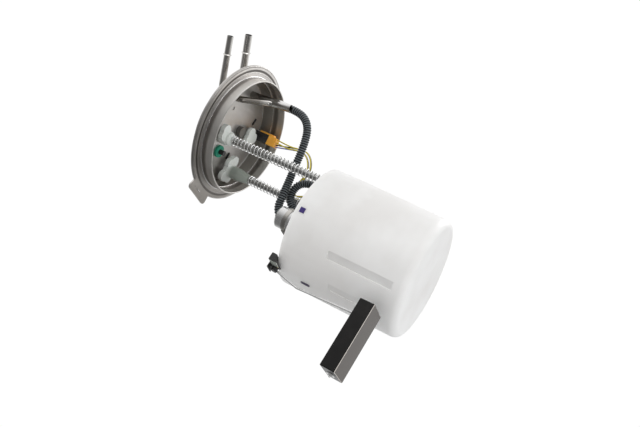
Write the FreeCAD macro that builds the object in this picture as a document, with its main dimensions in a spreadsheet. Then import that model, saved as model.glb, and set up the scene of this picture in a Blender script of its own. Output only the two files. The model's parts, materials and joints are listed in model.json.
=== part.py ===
import FreeCAD, Part
import math
import os
import Sketcher

# A fuel pump module: a steel tank cover on two sprung guide rods over a plastic reservoir
# that holds the pump and carries a float level sender.
# +Z points out of the tank. The origin is on the cover's axis, in the plane of the lip's seat.
# Lengths are millimetres and angles degrees.

Vector = FreeCAD.Vector
UP = Vector(0, 0, 1)

# Driving dimensions, each with its name in the sheet.
SIZES = {
    # tank cover
    "collar_radius": 64.0,
    "lip_width": 12.0,
    "ring_lip_setback": 1.6,
    "collar_depth": 13.7,
    "collar_edge_round": 0.6,
    "sheet_gauge": 1.5,
    "pan_step": 0.6,
    "pan_taper": 3.8,
    "pan_depth": 13.5,
    "tab_length": 11.2,
    "tab_angle": 199.2,
    "tab_half_angle": 14.4,
    "tab_corner_round": 4.0,
    "weld_boss_radius": 6.2,
    "weld_boss_height": 5.5,
    "weld_boss_x": 3.9,
    "weld_boss_y": 16.0,
    "slot_a_x": 21.7,
    "slot_a_y": 36.8,
    "slot_b_x": -26.6,
    "slot_b_y": 16.2,
    "slot_length": 8.0,
    "slot_width": 2.5,
    "slot_angle": 15.0,
    "slot_plug_rise": 0.8,
    "dimple_x": 21.7,
    "dimple_y": -13.2,
    "dimple_radius": 2.0,
    "mark_depth": 0.8,
    # fuel tubes
    "tube_run_height": 30.0,
    "tube_wall": 0.7,
    "bead_height": 1.2,
    "bead_length": 1.8,
    "bead_setback": 18.6,
    "braze_gap": 0.05,
    "supply_tube_radius": 4.0,
    "supply_leg_x": 46.0,
    "supply_leg_y": 8.3,
    "supply_end_x": 99.6,
    "supply_end_y": -21.9,
    "ferrule_x": 48.3,
    "ferrule_y": 15.0,
    "ferrule_top": 15.8,
    "ferrule_length": 17.2,
    "ferrule_radius": 4.6,
    "ferrule_lip": 8.0,
    "vapour_tube_radius": 3.4,
    "vapour_leg_x": 32.0,
    "vapour_leg_y": -23.8,
    "vapour_end_x": 85.2,
    "vapour_end_y": -50.6,
    "vapour_stub_x": 44.0,
    "vapour_stub_y": 4.0,
    "vapour_stub_top": 15.0,
    "vapour_mouth_x": 47.4,
    "vapour_mouth_drop": 40.0,
    "vapour_sleeve_radius": 3.8,
    "vapour_sleeve_length": 21.0,
    "vapour_sleeve_lip": 1.0,
    # corrugated hoses and wires
    "hose_radius": 4.5,
    "hose_gap": 0.05,
    "wire_radius": 0.75,
    "wire_end_gap": 0.35,
    # electrical pass-through
    "header_x": 10.0,
    "header_y": 48.5,
    "header_length": 10.5,
    "header_width": 10.0,
    "header_foot": 4.0,
    "header_flange_length": 22.0,
    "header_flange_width": 12.0,
    "header_flange_height": 3.0,
    "socket_height": 14.0,
    "socket_wall": 1.5,
    "blade_width": 2.4,
    "blade_gauge": 0.8,
    "blade_length": 9.0,
    "blade_pitch": 4.2,
    "plug_length": 17.4,
    "lock_length": 10.5,
    "latch_gauge": 2.0,
    "latch_width": 5.0,
    "latch_rise": 14.0,
    # white clip beside the plug
    "clip_x": 4.0,
    "clip_y": 31.0,
    "clip_lobe_radius": 6.2,
    "clip_lobe_reach": 4.6,
    "clip_foot_height": 4.0,
    "clip_foot_top": 8.0,
    "clip_stem_radius": 3.4,
    # tank pressure sensor
    "sensor_x": -26.5,
    "sensor_y": -5.0,
    "sensor_nose_radius": 2.8,
    "sensor_nose_end": 5.0,
    "sensor_body_radius": 9.0,
    "sensor_body_height": 11.0,
    "sensor_snout_length": 17.0,
    "sensor_snout_size": 8.0,
    "seal_neck_radius": 4.95,
    "seal_flange_radius": 6.8,
    "seal_flange_height": 2.5,
    # guide rods and springs
    "rod_radius": 3.2,
    "rod_a_x": -10.0,
    "rod_a_y": -10.0,
    "rod_b_x": -40.6,
    "rod_b_y": 20.0,
    "rod_tail": 8.0,
    "running_gap": 0.06,
    "retainer_gap": 0.04,
    "retainer_a_foot": 9.0,
    "retainer_b_foot": 9.0,
    "retainer_foot_height": 5.0,
    "retainer_lobe_radius": 6.2,
    "retainer_lobe_reach": 12.0,
    "retainer_neck_radius": 8.0,
    "retainer_barrel_radius": 7.2,
    "retainer_shoulder": 0.45,
    "retainer_tip_radius": 4.9,
    "retainer_a_end": 1.2,
    "retainer_b_end": 22.7,
    "rod_head_radius": 6.0,
    "spring_wire_radius": 0.65,
    "spring_mean_radius": 4.35,
    "spring_pitch": 4.5,
    "bush_flange_radius": 7.0,
    "bush_flange_height": 2.0,
    "bush_radius": 5.6,
    "bush_length": 28.0,
    "rod_clip_radius": 5.4,
    "rod_clip_gauge": 1.0,
    "rod_groove_depth": 0.5,
    # reservoir
    "rod_a_rim_angle": 154.44,
    "rod_a_rim_margin": 13.21,
    "rim_drop": 120.4,
    "reservoir_height": 127.8,
    "rim_radius": 64.2,
    "base_radius": 62.0,
    "base_round": 7.0,
    "reservoir_wall": 2.2,
    "channel_depth": 1.1,
    "channel_width": 8.0,
    "channel_angle": -104.5,
    "channel_top": 48.0,
    "channel_length": 67.0,
    "shallow_channel_angle": -133.5,
    "shallow_channel_depth": 0.7,
    "shallow_channel_length": 48.0,
    "shallow_channel_top": 57.0,
    "plug_angle": -145.0,
    "plug_drop": 31.0,
    "wall_slot_width": 3.4,
    "wall_slot_length": 10.2,
    "window_gap": 0.1,
    # lid and what it carries
    "lid_recess": 1.6,
    "lid_thickness": 3.0,
    "lid_clearance": 0.6,
    "skirt_height": 12.0,
    "skirt_wall": 2.0,
    "pin_size": 5.2,
    "pin_drop": 7.0,
    "pin_angle": -80.0,
    "pin_count": 3,
    "hose_socket_radius": 6.2,
    "hose_socket_height": 7.0,
    "lid_floor": 1.0,
    "outlet_x": -62.0,
    "outlet_y": -8.5,
    "jet_inlet_x": -50.0,
    "jet_inlet_y": 7.0,
    "jet_outlet_x": -17.0,
    "jet_outlet_y": 15.0,
    "port_radius": 2.2,
    "nipple_radius": 4.0,
    "nipple_length": 6.0,
    "regulator_x": -60.0,
    "regulator_y": -27.8,
    "regulator_radius": 11.2,
    "regulator_height": 24.5,
    "regulator_dome": 1.6,
    "band_height": 4.0,
    "band_gauge": 0.9,
    "band_level": 11.0,
    "strap_width": 7.0,
    "strap_foot": 8.5,
    "pump_plug_x": -28.5,
    "pump_plug_y": 22.0,
    "pump_plug_length": 8.0,
    "pump_plug_width": 7.0,
    "pump_plug_height": 8.0,
    # pump
    "pump_x": -70.0,
    "pump_y": 0.0,
    "pump_radius": 19.0,
    "pump_wall": 1.2,
    "pump_head_room": 23.0,
    "inlet_clearance": 1.9,
    "pump_cap_height": 4.0,
    "pump_plug_in": 5.0,
    "shaft_radius": 2.0,
    "shaft_start": 3.0,
    "armature_radius": 13.0,
    "armature_start": 17.0,
    "armature_foot": 21.0,
    "commutator_radius": 7.0,
    "commutator_length": 8.0,
    "magnet_gauge": 3.4,
    "impeller_radius": 15.0,
    "impeller_height": 4.0,
    "impeller_gap": 0.3,
    "chamber_height": 5.0,
    "inlet_cover_height": 5.0,
    "inlet_radius": 5.0,
    "inlet_port_radius": 3.0,
    "inlet_length": 12.0,
    "isolator_wall": 2.0,
    "isolator_height": 18.0,
    "isolator_lip": 3.0,
    "cradle_wall": 2.2,
    "cradle_height": 40.0,
    "cradle_ledge": 3.0,
    "cradle_window": 16.0,
    "seat_gap": 0.1,
    "strainer_radius": 18.0,
    "strainer_height": 6.0,
    "strainer_neck": 7.0,
    "jet_pump_length": 12.0,
    "jet_pump_width": 12.0,
    "jet_pump_height": 10.0,
    "jet_tube_radius": 3.0,
    # level sender, measured outwards along its hinge axis, across it, and down from the lip
    "sender_angle": 202.0,
    "hinge_offset": 22.9,
    "hinge_rise": 0.6,
    "sender_front": 3.25,
    "sender_width": 17.95,
    "sender_plate_gauge": 1.6,
    "sender_plate_rise": 5.0,
    "sender_plate_fall": 4.0,
    "sender_block_lift": 0.3,
    "sender_reach_in": 5.85,
    "sender_foot_length": 2.4,
    "sender_foot_width": 4.0,
    "card_gauge": 0.6,
    "card_start": 3.3,
    "card_width": 9.9,
    "card_height": 8.0,
    "hub_radius": 3.2,
    "hub_length": 4.7,
    "hub_gap": 0.15,
    "hinge_pin_radius": 1.5,
    "wiper_length": 2.25,
    "wiper_gauge": 0.4,
    "wiper_width": 1.2,
    "wiper_lead": 130.0,
    "cover_gauge": 0.8,
    "cover_width": 11.45,
    "cover_drop": 1.6,
    "arm_radius": 1.1,
    "arm_root_length": 2.05,
    "arm_root_across": -1.8,
    "arm_root_rise": 1.0,
    "arm_reach": 9.5,
    "arm_kink_reach": 8.5,
    "arm_kink_across": -0.8,
    "arm_kink_drop": 29.5,
    "arm_bend": 3.0,
    "float_overhang": 11.0,
    "float_length": 67.8,
    "float_width": 28.0,
    "float_height": 15.2,
    "float_tilt": 6.75,
    "float_across": 22.3,
    "float_drop": 107.8,
    "float_bore_gap": 0.08,
    "float_slot_half_width": 4.6,
    "float_slot_reach": 4.5,
    "float_edge_round": 0.8,
    "nut_radius": 4.2,
    "nut_gauge": 0.8,
    "nut_crown": 2.0,
    "wire_tail": 3.0,
}

document = FreeCAD.newDocument("fuel_pump_module")
sheet = document.addObject("Spreadsheet::Sheet", "sizes")


class Size:
    """A length or angle: its value, and the formula that binds it to the sheet."""

    def __init__(self, value, formula):
        self.value = value
        self.formula = formula

    def __add__(self, other):
        other = as_size(other)
        return Size(self.value + other.value, f"({self.formula} + {other.formula})")

    def __sub__(self, other):
        other = as_size(other)
        return Size(self.value - other.value, f"({self.formula} - {other.formula})")

    def __mul__(self, other):
        other = as_size(other)
        return Size(self.value * other.value, f"({self.formula} * {other.formula})")

    def __truediv__(self, other):
        other = as_size(other)
        return Size(self.value / other.value, f"({self.formula} / {other.formula})")

    def __neg__(self):
        return Size(-self.value, f"(0 - {self.formula})")

    def __radd__(self, other):
        return as_size(other) + self

    def __rsub__(self, other):
        return as_size(other) - self

    def __rmul__(self, other):
        return as_size(other) * self


def as_size(amount):
    if isinstance(amount, Size):
        return amount
    return Size(float(amount), repr(float(amount)))


def cosine(angle):
    return Size(math.cos(math.radians(angle.value)), f"cos({angle.formula})")


def sine(angle):
    return Size(math.sin(math.radians(angle.value)), f"sin({angle.formula})")


def root(amount):
    return Size(math.sqrt(amount.value), f"sqrt({amount.formula})")


class Dimensions:
    """Every cell of the sheet, as an attribute with the cell's name."""


def fill_sheet():
    dimensions = Dimensions()
    for row, (name, value) in enumerate(SIZES.items(), start=1):
        sheet.set(f"A{row}", name)
        sheet.set(f"B{row}", str(value))
        sheet.setAlias(f"B{row}", name)
        setattr(dimensions, name, Size(float(value), f"sizes.{name}"))
    document.recompute()
    return dimensions


d = fill_sheet()
nodes = []


def node(piece, name):
    """Give a sub-part its name and keep it for the export."""
    piece.Label = name
    nodes.append(piece)
    return piece


# Primitives bound to the sheet

def bind(piece, **properties):
    for name, size in properties.items():
        piece.setExpression(name, as_size(size).formula)


def put(piece, x, y, z, rotation=None):
    """Place a piece, with its base bound to the sheet."""
    x, y, z = as_size(x), as_size(y), as_size(z)
    rotation = rotation or FreeCAD.Rotation()
    piece.Placement = FreeCAD.Placement(Vector(x.value, y.value, z.value), rotation)
    piece.setExpression(".Placement.Base.x", x.formula)
    piece.setExpression(".Placement.Base.y", y.formula)
    piece.setExpression(".Placement.Base.z", z.formula)
    return piece


def cylinder(name, radius, height, x, y, z, along=UP):
    piece = document.addObject("Part::Cylinder", name)
    bind(piece, Radius=radius, Height=height)
    return put(piece, x, y, z, FreeCAD.Rotation(UP, along))


def cone(name, low_radius, high_radius, height, x, y, z):
    piece = document.addObject("Part::Cone", name)
    bind(piece, Radius1=low_radius, Radius2=high_radius, Height=height)
    return put(piece, x, y, z)


def box(name, length, width, height, x, y, z, turn=0.0, lean=0.0):
    """A box whose low corner is at x, y, z, turned about Z and leaned outwards about that corner."""
    piece = document.addObject("Part::Box", name)
    bind(piece, Length=length, Width=width, Height=height)
    leaning = FreeCAD.Rotation(Vector(0, 1, 0), lean)
    return put(piece, x, y, z, FreeCAD.Rotation(UP, as_size(turn).value).multiply(leaning))


def centred_box(name, length, width, height, x, y, z):
    return box(name, length, width, height, x - length / 2, y - width / 2, z)


def join(name, *pieces):
    piece = document.addObject("Part::MultiFuse", name)
    piece.Shapes = list(pieces)
    piece.Refine = True
    return piece


def cut(name, base, *tools):
    for number, tool in enumerate(tools, start=1):
        piece = document.addObject("Part::Cut", f"{name}_cut_{number}")
        piece.Base = base
        piece.Tool = tool
        base = piece
    return base


def sleeve(name, outer_radius, inner_radius, height, x, y, z, along=UP):
    outside = cylinder(name + "_outside", outer_radius, height, x, y, z, along)
    inside = cylinder(name + "_inside", inner_radius, height, x, y, z, along)
    return cut(name, outside, inside)


# Sketched bodies

def origin_plane(body, role):
    return [plane for plane in body.Origin.OriginFeatures if plane.Role == role][0]


def outline_sketch(body, name, role, corners):
    """A closed outline of straight lines with every corner bound to the sheet."""
    sketch = body.newObject("Sketcher::SketchObject", name)
    sketch.AttachmentSupport = [(origin_plane(body, role), "")]
    sketch.MapMode = "FlatFace"
    corners = [(as_size(across), as_size(up)) for across, up in corners]
    points = [Vector(across.value, up.value, 0) for across, up in corners]
    for start, end in zip(points, points[1:] + points[:1]):
        sketch.addGeometry(Part.LineSegment(start, end), False)
    count = len(corners)
    for line in range(count):
        sketch.addConstraint(Sketcher.Constraint("Coincident", line, 2, (line + 1) % count, 1))
    for line, (across, up) in enumerate(corners):
        for direction, size in (("DistanceX", across), ("DistanceY", up)):
            constraint = Sketcher.Constraint(direction, -1, 1, line, 1, size.value)
            index = sketch.addConstraint(constraint)
            sketch.setExpression(f"Constraints[{index}]", size.formula)
    return sketch


def turned_body(name, corners, x=0, y=0):
    """A body turned about a vertical axis from an outline of (radius, height) corners."""
    body = document.addObject("PartDesign::Body", name)
    sketch = outline_sketch(body, name + "_outline", "XZ_Plane", corners)
    turn = body.newObject("PartDesign::Revolution", name + "_turn")
    turn.Profile = sketch
    turn.ReferenceAxis = (sketch, ["V_Axis"])
    turn.Angle = 360
    sketch.Visibility = False
    put(body, x, y, 0)
    document.recompute()
    return body


def edge_names(shape, wanted):
    return [f"Edge{index}" for index, edge in enumerate(shape.Edges, start=1) if wanted(edge)]


def is_ring(edge, radius, height):
    """True for a full circle about the vertical axis at this radius and height."""
    curve = edge.Curve
    if not isinstance(curve, Part.Circle):
        return False
    return abs(curve.Radius - radius) < 1e-4 and abs(curve.Center.z - height) < 1e-4


def round_edges(body, name, radius, wanted):
    base = body.Tip
    rounding = body.newObject("PartDesign::Fillet", name)
    rounding.Base = (base, edge_names(base.Shape, wanted))
    bind(rounding, Radius=radius)
    document.recompute()


# Swept tubes

def rounded_route(points, bend=None):
    """Straight runs joined by tangent arcs; without a bend each arc is as large as its runs allow."""
    points = [Vector(*point) for point in points]
    edges = []
    radii = []
    start = points[0]
    for before, corner, after in zip(points, points[1:], points[2:]):
        back = (before - corner).normalize()
        forth = (after - corner).normalize()
        turn = math.pi - back.getAngle(forth)
        shorter = min((before - corner).Length, (after - corner).Length)
        reach = bend * math.tan(turn / 2) if bend else 0.45 * shorter
        radius = reach / math.tan(turn / 2)
        inward = (back + forth).normalize()
        middle = corner + inward * (radius / math.cos(turn / 2) - radius)
        arc_start = corner + back * reach
        arc_end = corner + forth * reach
        edges.append(Part.LineSegment(start, arc_start).toShape())
        edges.append(Part.Arc(arc_start, middle, arc_end).toShape())
        radii.append(radius)
        start = arc_end
    edges.append(Part.LineSegment(start, points[-1]).toShape())
    return Part.Wire(edges), radii


def swept(route, radius):
    first = route.Edges[0]
    start = first.valueAt(first.FirstParameter)
    heading = first.tangentAt(first.FirstParameter)
    ring = Part.Wire([Part.Circle(start, heading, radius).toShape()])
    return route.makePipeShell([ring], True, False)


def shape_node(name, shape):
    piece = document.addObject("Part::Feature", name)
    piece.Shape = shape
    return node(piece, name)


def cord(name, points, radius):
    """A plain tube along a hand-chosen route, with its length and its bends printed."""
    route, radii = rounded_route(points)
    shape = swept(route, radius)
    share = shape.Volume / (math.pi * radius ** 2 * route.Length)
    bends = ", ".join(f"{value:.0f}" for value in radii)
    print(f"{name}: length {route.Length:.1f}, volume share {share:.4f}, bends {bends}")
    return shape_node(name, shape)


# Levels and places that several pieces share

seat_gap = d.seat_gap
lip_radius = d.collar_radius + d.lip_width
collar_inner = d.collar_radius - d.sheet_gauge
pan_mouth = collar_inner - d.pan_step
pan_end = pan_mouth - d.pan_taper
pan_top = d.pan_depth + d.sheet_gauge
reservoir_x = d.rod_a_x + cosine(d.rod_a_rim_angle) * (d.rim_radius - d.rod_a_rim_margin)
reservoir_y = d.rod_a_y + sine(d.rod_a_rim_angle) * (d.rim_radius - d.rod_a_rim_margin)
rim_level = -d.rim_drop
base_level = rim_level - d.reservoir_height
floor_level = base_level + d.reservoir_wall
lid_top = rim_level - d.lid_recess
lid_bottom = lid_top - d.lid_thickness
lid_radius = d.rim_radius - d.reservoir_wall - d.lid_clearance
bush_top = lid_top + d.bush_flange_height
bush_bottom = lid_top - d.bush_length
hose_floor = lid_top + d.lid_floor
hose_mouth = lid_top + d.hose_socket_height
ferrule_bottom = -(d.ferrule_top + d.ferrule_length)
slot_floor = d.pan_depth + d.mark_depth
plug_top = d.pan_depth - d.header_foot
plug_bottom = plug_top - d.plug_length
lock_bottom = plug_bottom - d.lock_length
strainer_top = floor_level + seat_gap + d.strainer_height
inlet_bottom = strainer_top + d.inlet_clearance
pump_bottom = inlet_bottom + d.inlet_length
pump_top = lid_bottom - d.pump_head_room
pump_length = pump_top - pump_bottom
armature_length = pump_length - d.armature_start - d.armature_foot
impeller_top = pump_bottom + d.inlet_cover_height + d.impeller_gap + d.impeller_height
chamber_bottom = impeller_top + d.impeller_gap


def wall_radius(level):
    """The reservoir's outer radius at this level of its sloping wall."""
    return d.base_radius + (d.rim_radius - d.base_radius) / d.reservoir_height * (level - base_level)


plug_level = rim_level - d.plug_drop
plug_wall = wall_radius(plug_level)


# Tank cover

def make_flange_ring():
    """The lip that seats on the tank, the collar that drops into it, and the locating tab."""
    ring_lip_radius = lip_radius - d.ring_lip_setback
    tab_reach = lip_radius + d.tab_length
    body = turned_body("flange_ring", [
        (collar_inner, -d.collar_depth),
        (d.collar_radius, -d.collar_depth),
        (d.collar_radius, 0),
        (ring_lip_radius, 0),
        (ring_lip_radius, d.sheet_gauge),
        (collar_inner, d.sheet_gauge),
    ])
    root = d.collar_radius + d.sheet_gauge
    low = d.tab_angle - d.tab_half_angle
    high = d.tab_angle + d.tab_half_angle
    corners = [
        (cosine(low) * root, sine(low) * root),
        (cosine(low) * tab_reach, sine(low) * tab_reach),
        (cosine(high) * tab_reach, sine(high) * tab_reach),
        (cosine(high) * root, sine(high) * root),
    ]
    sketch = outline_sketch(body, "tab_outline", "XY_Plane", corners)
    tab = body.newObject("PartDesign::Pad", "tab")
    tab.Profile = sketch
    bind(tab, Length=d.sheet_gauge)
    document.recompute()

    def at_tab_corner(edge):
        ends = [vertex.Point for vertex in edge.Vertexes]
        if len(ends) != 2 or abs(ends[0].z - ends[1].z) < d.sheet_gauge.value / 2:
            return False
        return math.hypot(ends[0].x, ends[0].y) > tab_reach.value - 1

    def at_collar_edge(edge):
        ring_radii = (collar_inner.value, d.collar_radius.value)
        return any(is_ring(edge, radius, -d.collar_depth.value) for radius in ring_radii)

    round_edges(body, "tab_corners", d.tab_corner_round, at_tab_corner)
    round_edges(body, "collar_edge", d.collar_edge_round, at_collar_edge)
    node(body, "flange_ring")


PAN_SLOTS = {"a": (d.slot_a_x, d.slot_a_y), "b": (d.slot_b_x, d.slot_b_y)}


def pan_slot(name, x, y, gap, level, height):
    """A slot-shaped box in the end plate, smaller all round by a gap."""
    length = d.slot_length - 2 * as_size(gap)
    width = d.slot_width - 2 * as_size(gap)
    back = (cosine(d.slot_angle) * length - sine(d.slot_angle) * width) / 2
    side = (sine(d.slot_angle) * length + cosine(d.slot_angle) * width) / 2
    return box(name, length, width, height, x - back, y - side, level, d.slot_angle)


def make_cover_pan():
    """The dome: a conical wall and an end plate, with a lip that covers the ring's lip."""
    body = turned_body("pan", [
        (0, d.pan_depth),
        (pan_end, d.pan_depth),
        (pan_mouth, d.sheet_gauge),
        (lip_radius, d.sheet_gauge),
        (lip_radius, 2 * d.sheet_gauge),
        (pan_mouth + d.sheet_gauge, 2 * d.sheet_gauge),
        (pan_end + d.sheet_gauge, pan_top),
        (0, pan_top),
    ])
    below = d.pan_depth - 1
    through = d.sheet_gauge + 2
    holes = [
        cylinder("supply_hole", d.supply_tube_radius + d.braze_gap, through,
                 d.supply_leg_x, d.supply_leg_y, below),
        cylinder("vapour_hole", d.vapour_tube_radius + d.braze_gap, through,
                 d.vapour_leg_x, d.vapour_leg_y, below),
        cylinder("sensor_hole", d.seal_neck_radius + d.braze_gap, through,
                 d.sensor_x, d.sensor_y, below),
        centred_box("header_hole", d.header_length + 2 * seat_gap, d.header_width + 2 * seat_gap,
                    through, d.header_x, d.header_y, below),
    ]
    mark_height = d.mark_depth + 1
    marks = [
        cylinder("pan_dimple", d.dimple_radius, mark_height, d.dimple_x, d.dimple_y, below),
    ]
    for letter, (x, y) in PAN_SLOTS.items():
        marks.append(pan_slot(f"pan_slot_{letter}", x, y, 0, below, mark_height))
    node(cut("cover_pan", body, *holes, *marks), "cover_pan")


def make_pan_fittings():
    """The welded boss and the two black plugs in the end plate's slots."""
    boss = cylinder("weld_boss", d.weld_boss_radius, d.weld_boss_height,
                    d.weld_boss_x, d.weld_boss_y, d.pan_depth - d.weld_boss_height)
    node(boss, "weld_boss")
    bottom = d.pan_depth - d.slot_plug_rise
    plugs = [pan_slot(f"slot_plug_{letter}", x, y, d.braze_gap, bottom, slot_floor - bottom)
             for letter, (x, y) in PAN_SLOTS.items()]
    compound = document.addObject("Part::Compound", "slot_plugs")
    compound.Links = plugs
    node(compound, "slot_plugs")


def make_tube(name, points, radius, bend):
    """A bent steel tube, open at both ends, with a bead near its outer end."""
    route, _ = rounded_route(points, bend)
    outer_end = Vector(*points[0])
    heading = (Vector(*points[1]) - outer_end).normalize()
    bead_start = outer_end + heading * d.bead_setback.value
    bead_radius = radius + d.bead_height.value
    slope = d.bead_length.value / 2
    bead_up = Part.makeCone(radius, bead_radius, slope, bead_start, heading)
    bead_down = Part.makeCone(bead_radius, radius, slope, bead_start + heading * slope, heading)
    outside = swept(route, radius).fuse([bead_up, bead_down]).removeSplitter()
    bore = swept(route, radius - d.tube_wall.value)
    shape_node(name, outside.cut(bore))


def supply_route():
    leg = (d.supply_leg_x.value, d.supply_leg_y.value)
    stub = (d.ferrule_x.value, d.ferrule_y.value)
    inner_end = ferrule_bottom.value + d.ferrule_lip.value
    return [
        (d.supply_end_x.value, d.supply_end_y.value, d.tube_run_height.value),
        (*leg, d.tube_run_height.value),
        (*leg, 2),
        (*stub, -12),
        (*stub, inner_end),
    ]


def vapour_mouth():
    """The sleeve's open end, and the direction from there back into the tube."""
    mouth = Vector(d.vapour_mouth_x.value, d.vapour_stub_y.value, -d.vapour_mouth_drop.value)
    stub = Vector(d.vapour_stub_x.value, d.vapour_stub_y.value, -d.vapour_stub_top.value)
    return mouth, (stub - mouth).normalize()


def vapour_route():
    leg = (d.vapour_leg_x.value, d.vapour_leg_y.value)
    mouth, back = vapour_mouth()
    inner_end = mouth + back * d.vapour_sleeve_lip.value
    return [
        (d.vapour_end_x.value, d.vapour_end_y.value, d.tube_run_height.value),
        (*leg, d.tube_run_height.value),
        (*leg, 5),
        (d.vapour_stub_x.value, d.vapour_stub_y.value, -d.vapour_stub_top.value),
        tuple(inner_end),
    ]


def make_tube_sleeves():
    """The crimped ferrule on the supply tube, which the hose butts on, and the vapour tube's sleeve."""
    ferrule = sleeve("supply_ferrule", d.ferrule_radius, d.supply_tube_radius + d.braze_gap,
                     d.ferrule_length, d.ferrule_x, d.ferrule_y, ferrule_bottom)
    node(ferrule, "supply_ferrule")
    _, back = vapour_mouth()
    stub_end = sleeve("vapour_sleeve", d.vapour_sleeve_radius, d.vapour_tube_radius + d.braze_gap,
                      d.vapour_sleeve_length, d.vapour_mouth_x, d.vapour_stub_y,
                      -d.vapour_mouth_drop, back)
    node(stub_end, "vapour_sleeve")


def make_electrical_header():
    """The black pass-through: a foot through the end plate and a plug socket on top."""
    x, y = d.header_x, d.header_y
    foot = centred_box("header_stem", d.header_length, d.header_width,
                       d.header_foot + d.sheet_gauge, x, y, plug_top)
    flange = centred_box("header_flange", d.header_flange_length, d.header_flange_width,
                         d.header_flange_height, x, y, pan_top)
    shroud_base = pan_top + d.header_flange_height
    shroud_length = d.header_flange_length - 2 * d.socket_wall
    shroud_width = d.header_flange_width - d.socket_wall
    shroud = centred_box("header_shroud", shroud_length, shroud_width, d.socket_height,
                         x, y, shroud_base)
    cavity = centred_box("header_cavity", shroud_length - 2 * d.socket_wall,
                         shroud_width - 2 * d.socket_wall, d.socket_height,
                         x, y, shroud_base)
    solid = join("header_solid", foot, flange, shroud)
    node(cut("electrical_header", solid, cavity), "electrical_header")
    blades = []
    for number in range(4):
        offset = (number - 1.5) * d.blade_pitch
        blades.append(centred_box(f"blade_{number}", d.blade_width, d.blade_gauge, d.blade_length,
                                  x + offset, y, shroud_base))
    compound = document.addObject("Part::Compound", "header_pins")
    compound.Links = blades
    node(compound, "header_pins")


def make_harness_plug():
    """The black plug under the end plate and the yellow lock that closes it."""
    x, y = d.header_x, d.header_y
    plug = centred_box("plug_body", d.header_length, d.header_width, d.plug_length, x, y, plug_bottom)
    groove = centred_box("plug_groove", 1.2, d.header_width, d.plug_length - 4,
                         x, y - d.header_width + 1, plug_bottom + 2)
    node(cut("harness_plug", plug, groove), "harness_plug")
    lock = centred_box("lock_body", d.header_length, d.header_width - 1, d.lock_length,
                       x, y, lock_bottom)
    latch_x = x + d.header_length / 2
    latch = box("lock_latch", d.latch_gauge, d.latch_width, d.latch_rise + d.lock_length / 2,
                latch_x + seat_gap, y - d.latch_width / 2, plug_bottom - d.lock_length / 2)
    bridge = box("lock_bridge", d.latch_gauge, d.latch_width, d.lock_length / 4,
                 latch_x, y - d.latch_width / 2, plug_bottom - d.lock_length / 2)
    node(join("harness_lock", lock, latch, bridge), "harness_lock")


def lobe_offsets(reach, angle):
    return cosine(angle) * reach, sine(angle) * reach


def make_harness_clip():
    """The white clip beside the plug: a stem with a foot of three lobes."""
    bottom = d.clip_foot_top - d.clip_foot_height
    pieces = [cylinder("clip_stem", d.clip_stem_radius, d.pan_depth - bottom, d.clip_x, d.clip_y, bottom)]
    for number in range(3):
        across, along = lobe_offsets(d.clip_lobe_reach, as_size(90 + 120 * number))
        pieces.append(cylinder(f"clip_lobe_{number}", d.clip_lobe_radius, d.clip_foot_height,
                               d.clip_x + across, d.clip_y + along, bottom))
    node(join("harness_clip", *pieces), "harness_clip")


def make_pressure_sensor():
    """The sensor on the cover, its nose through the green grommet."""
    x, y = d.sensor_x, d.sensor_y
    bore = d.sensor_nose_radius + d.braze_gap
    seal_bottom = d.pan_depth - d.seal_flange_height
    seal_height = d.sheet_gauge + 2 * d.seal_flange_height
    flange_below = cylinder("seal_below", d.seal_flange_radius, d.seal_flange_height, x, y, seal_bottom)
    flange_above = cylinder("seal_above", d.seal_flange_radius, d.seal_flange_height, x, y, pan_top)
    neck = cylinder("seal_neck", d.seal_neck_radius, seal_height, x, y, seal_bottom)
    seal = join("seal_solid", flange_below, flange_above, neck)
    hole = cylinder("seal_bore", bore, seal_height, x, y, seal_bottom)
    node(cut("sensor_seal", seal, hole), "sensor_seal")
    body_level = pan_top + d.seal_flange_height
    nose = cylinder("sensor_nose", d.sensor_nose_radius, body_level - d.sensor_nose_end,
                    x, y, d.sensor_nose_end)
    case = cylinder("sensor_case", d.sensor_body_radius, d.sensor_body_height, x, y, body_level)
    snout = box("sensor_snout", d.sensor_snout_length, d.sensor_snout_size, d.sensor_snout_size,
                x - d.sensor_snout_length, y - d.sensor_snout_size / 2, body_level + 1)
    node(join("pressure_sensor", nose, case, snout), "pressure_sensor")


# Guide rods

RODS = {
    "a": (d.rod_a_x, d.rod_a_y, d.retainer_a_foot, d.retainer_a_end),
    "b": (d.rod_b_x, d.rod_b_y, d.retainer_b_foot, d.retainer_b_end),
}
# Each lobe's share of the reach, and its direction in degrees.
LOBES = {
    "a": [(1.0, -57.0), (0.75, -85.0)],
    "b": [(0.65, -25.0), (0.95, 8.0), (0.8, 215.0), (0.65, 165.0)],
}


def make_rod(letter, x, y, foot_top):
    """A rod from the end plate through its bush, with a groove for the stop clip; rod b has a head."""
    clip_top = bush_bottom - seat_gap
    bottom = bush_bottom - d.rod_tail
    groove_radius = d.rod_radius - d.rod_groove_depth
    corners = [
        (0, bottom),
        (d.rod_radius, bottom),
        (d.rod_radius, clip_top - d.rod_clip_gauge),
        (groove_radius, clip_top - d.rod_clip_gauge),
        (groove_radius, clip_top),
        (d.rod_radius, clip_top),
    ]
    if letter == "b":
        corners += [(d.rod_radius, foot_top), (d.rod_head_radius, foot_top), (d.rod_head_radius, d.pan_depth)]
    else:
        corners.append((d.rod_radius, d.pan_depth))
    rod = turned_body("guide_rod_" + letter, corners + [(0, d.pan_depth)], x, y)
    node(rod, "guide_rod_" + letter)


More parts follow.
